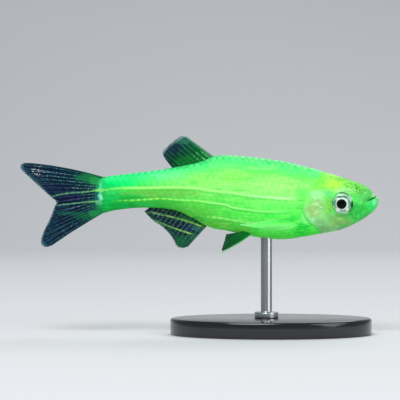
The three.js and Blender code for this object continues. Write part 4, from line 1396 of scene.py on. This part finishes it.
def build_rod():
    low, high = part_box("stand_rod")
    foot = (high.x - low.x) / 2
    shaft = foot * ROD_SHARE
    bottom = low.z - FOOT_SINK * MM
    foot_top = bottom + FOOT_HEIGHT * MM
    nothing_selected()
    bpy.ops.mesh.primitive_cylinder_add(
        vertices=64, radius=foot, depth=foot_top - bottom,
        location=((low.x + high.x) / 2, 0, (bottom + foot_top) / 2),
    )
    rod = bpy.context.object
    bpy.ops.object.transform_apply(location=True, rotation=True, scale=True)
    pick(rod, "FACE", lambda face: face.normal.z > 0.9)
    bpy.ops.mesh.inset(thickness=foot - shaft)
    lift = high.z + ROD_INTO_BELLY * MM - foot_top
    bpy.ops.mesh.extrude_region_move(TRANSFORM_OT_translate={"value": (0, 0, lift)})
    bpy.ops.object.mode_set(mode="OBJECT")
    apply_modifier(rod, "BEVEL", width=ROD_BEVEL * MM, segments=3, limit_method="ANGLE")
    rod.data.shade_smooth()
    bpy.ops.object.shade_smooth_by_angle(angle=SMOOTH_ANGLE)
    # Drawn and rubbed down, so its highlights are long and soft
    steel = plain_material("satin steel rod", "#b9bdc2", 0.3, 0.2, 0.17, {"Metallic": 1})
    settle(rod, "stand_rod_render", steel, ("stand_rod",))


# Floor, light and camera. The floor and the lights are in metres.
FLOOR_SIZE = (2.4, 1.4)
FLOOR_MIDDLE = -0.35
FLOOR_PAST = 0.25
WALL_HEIGHT = 0.7
SWEEP_WIDTH = 0.24
LIGHT_SIZE = 0.3
LIGHTS = {
    "key_light": ((-0.1, -0.3, 0.42), 1.9),
    "fill_light": ((0.34, -0.24, 0.16), 0.5),
    "back_light": ((0.1, 0.3, 0.4), 0.7),
}
PICTURE_WIDTH = 53.6  # millimetres of the fish's own plane across the picture
PICTURE_MIDDLE = 0.1
LENS = 150
SENSOR = 36


def build_stage():
    """A pale floor that curves up into the wall behind."""
    nothing_selected()
    bpy.ops.mesh.primitive_plane_add(size=1, location=(0, FLOOR_MIDDLE, 0))
    floor = bpy.context.object
    floor.scale = (*FLOOR_SIZE, 1)
    bpy.ops.object.transform_apply(location=True, rotation=True, scale=True)
    pick(floor, "EDGE", lambda edge: all(corner.y > 0.2 for corner in edge_corners(floor, edge)))
    bpy.ops.mesh.extrude_edges_move(TRANSFORM_OT_translate={"value": (0, FLOOR_PAST, 0)})
    bpy.ops.mesh.extrude_edges_move(TRANSFORM_OT_translate={"value": (0, 0, WALL_HEIGHT)})
    bpy.ops.object.mode_set(mode="OBJECT")
    apply_modifier(floor, "BEVEL", width=SWEEP_WIDTH, segments=24, limit_method="ANGLE")
    floor.data.shade_smooth()
    floor.name = "floor_sweep"
    # Even and without glare
    floor.data.materials.append(plain_material("pale matt card", "#dfe1e4", 0.9, 0.05, 0.5))


def build_lights():
    """Soft round lamps aimed at the middle of the fish, in a dim grey room."""
    for name, (spot, power) in LIGHTS.items():
        nothing_selected()
        bpy.ops.object.light_add(type="AREA", location=spot)
        light = bpy.context.object
        light.name = name
        light.data.shape = "DISK"
        light.data.size = LIGHT_SIZE
        light.data.energy = power
        aim = [t - s for t, s in zip((0, 0, AXIS_HEIGHT * MM), spot)]
        flat = math.hypot(aim[0], aim[1])
        light.rotation_euler = (math.atan2(flat, -aim[2]), 0, math.atan2(aim[1], aim[0]) - math.pi / 2)
    world = bpy.data.worlds.new("soft grey room")
    world.use_nodes = True
    set_inputs(world.node_tree.nodes["Background"], {"Color": "#e6e9ee", "Strength": 0.3})
    bpy.context.scene.world = world
    bpy.context.scene.view_settings.view_transform = "Standard"


def build_camera():
    distance = PICTURE_WIDTH * LENS / SENSOR
    nothing_selected()
    bpy.ops.object.camera_add(
        location=(PICTURE_MIDDLE * MM, -distance * MM, AXIS_HEIGHT * MM), rotation=(math.pi / 2, 0, 0),
    )
    camera = bpy.context.object
    camera.name = "camera"
    camera.data.lens = LENS
    camera.data.sensor_width = SENSOR
    camera.data.clip_start = 0.005
    bpy.context.scene.camera = camera


build_skin()
build_scales()
build_fins()
build_eyes()
build_barbels()
build_base()
build_rod()
build_stage()
build_lights()
build_camera()
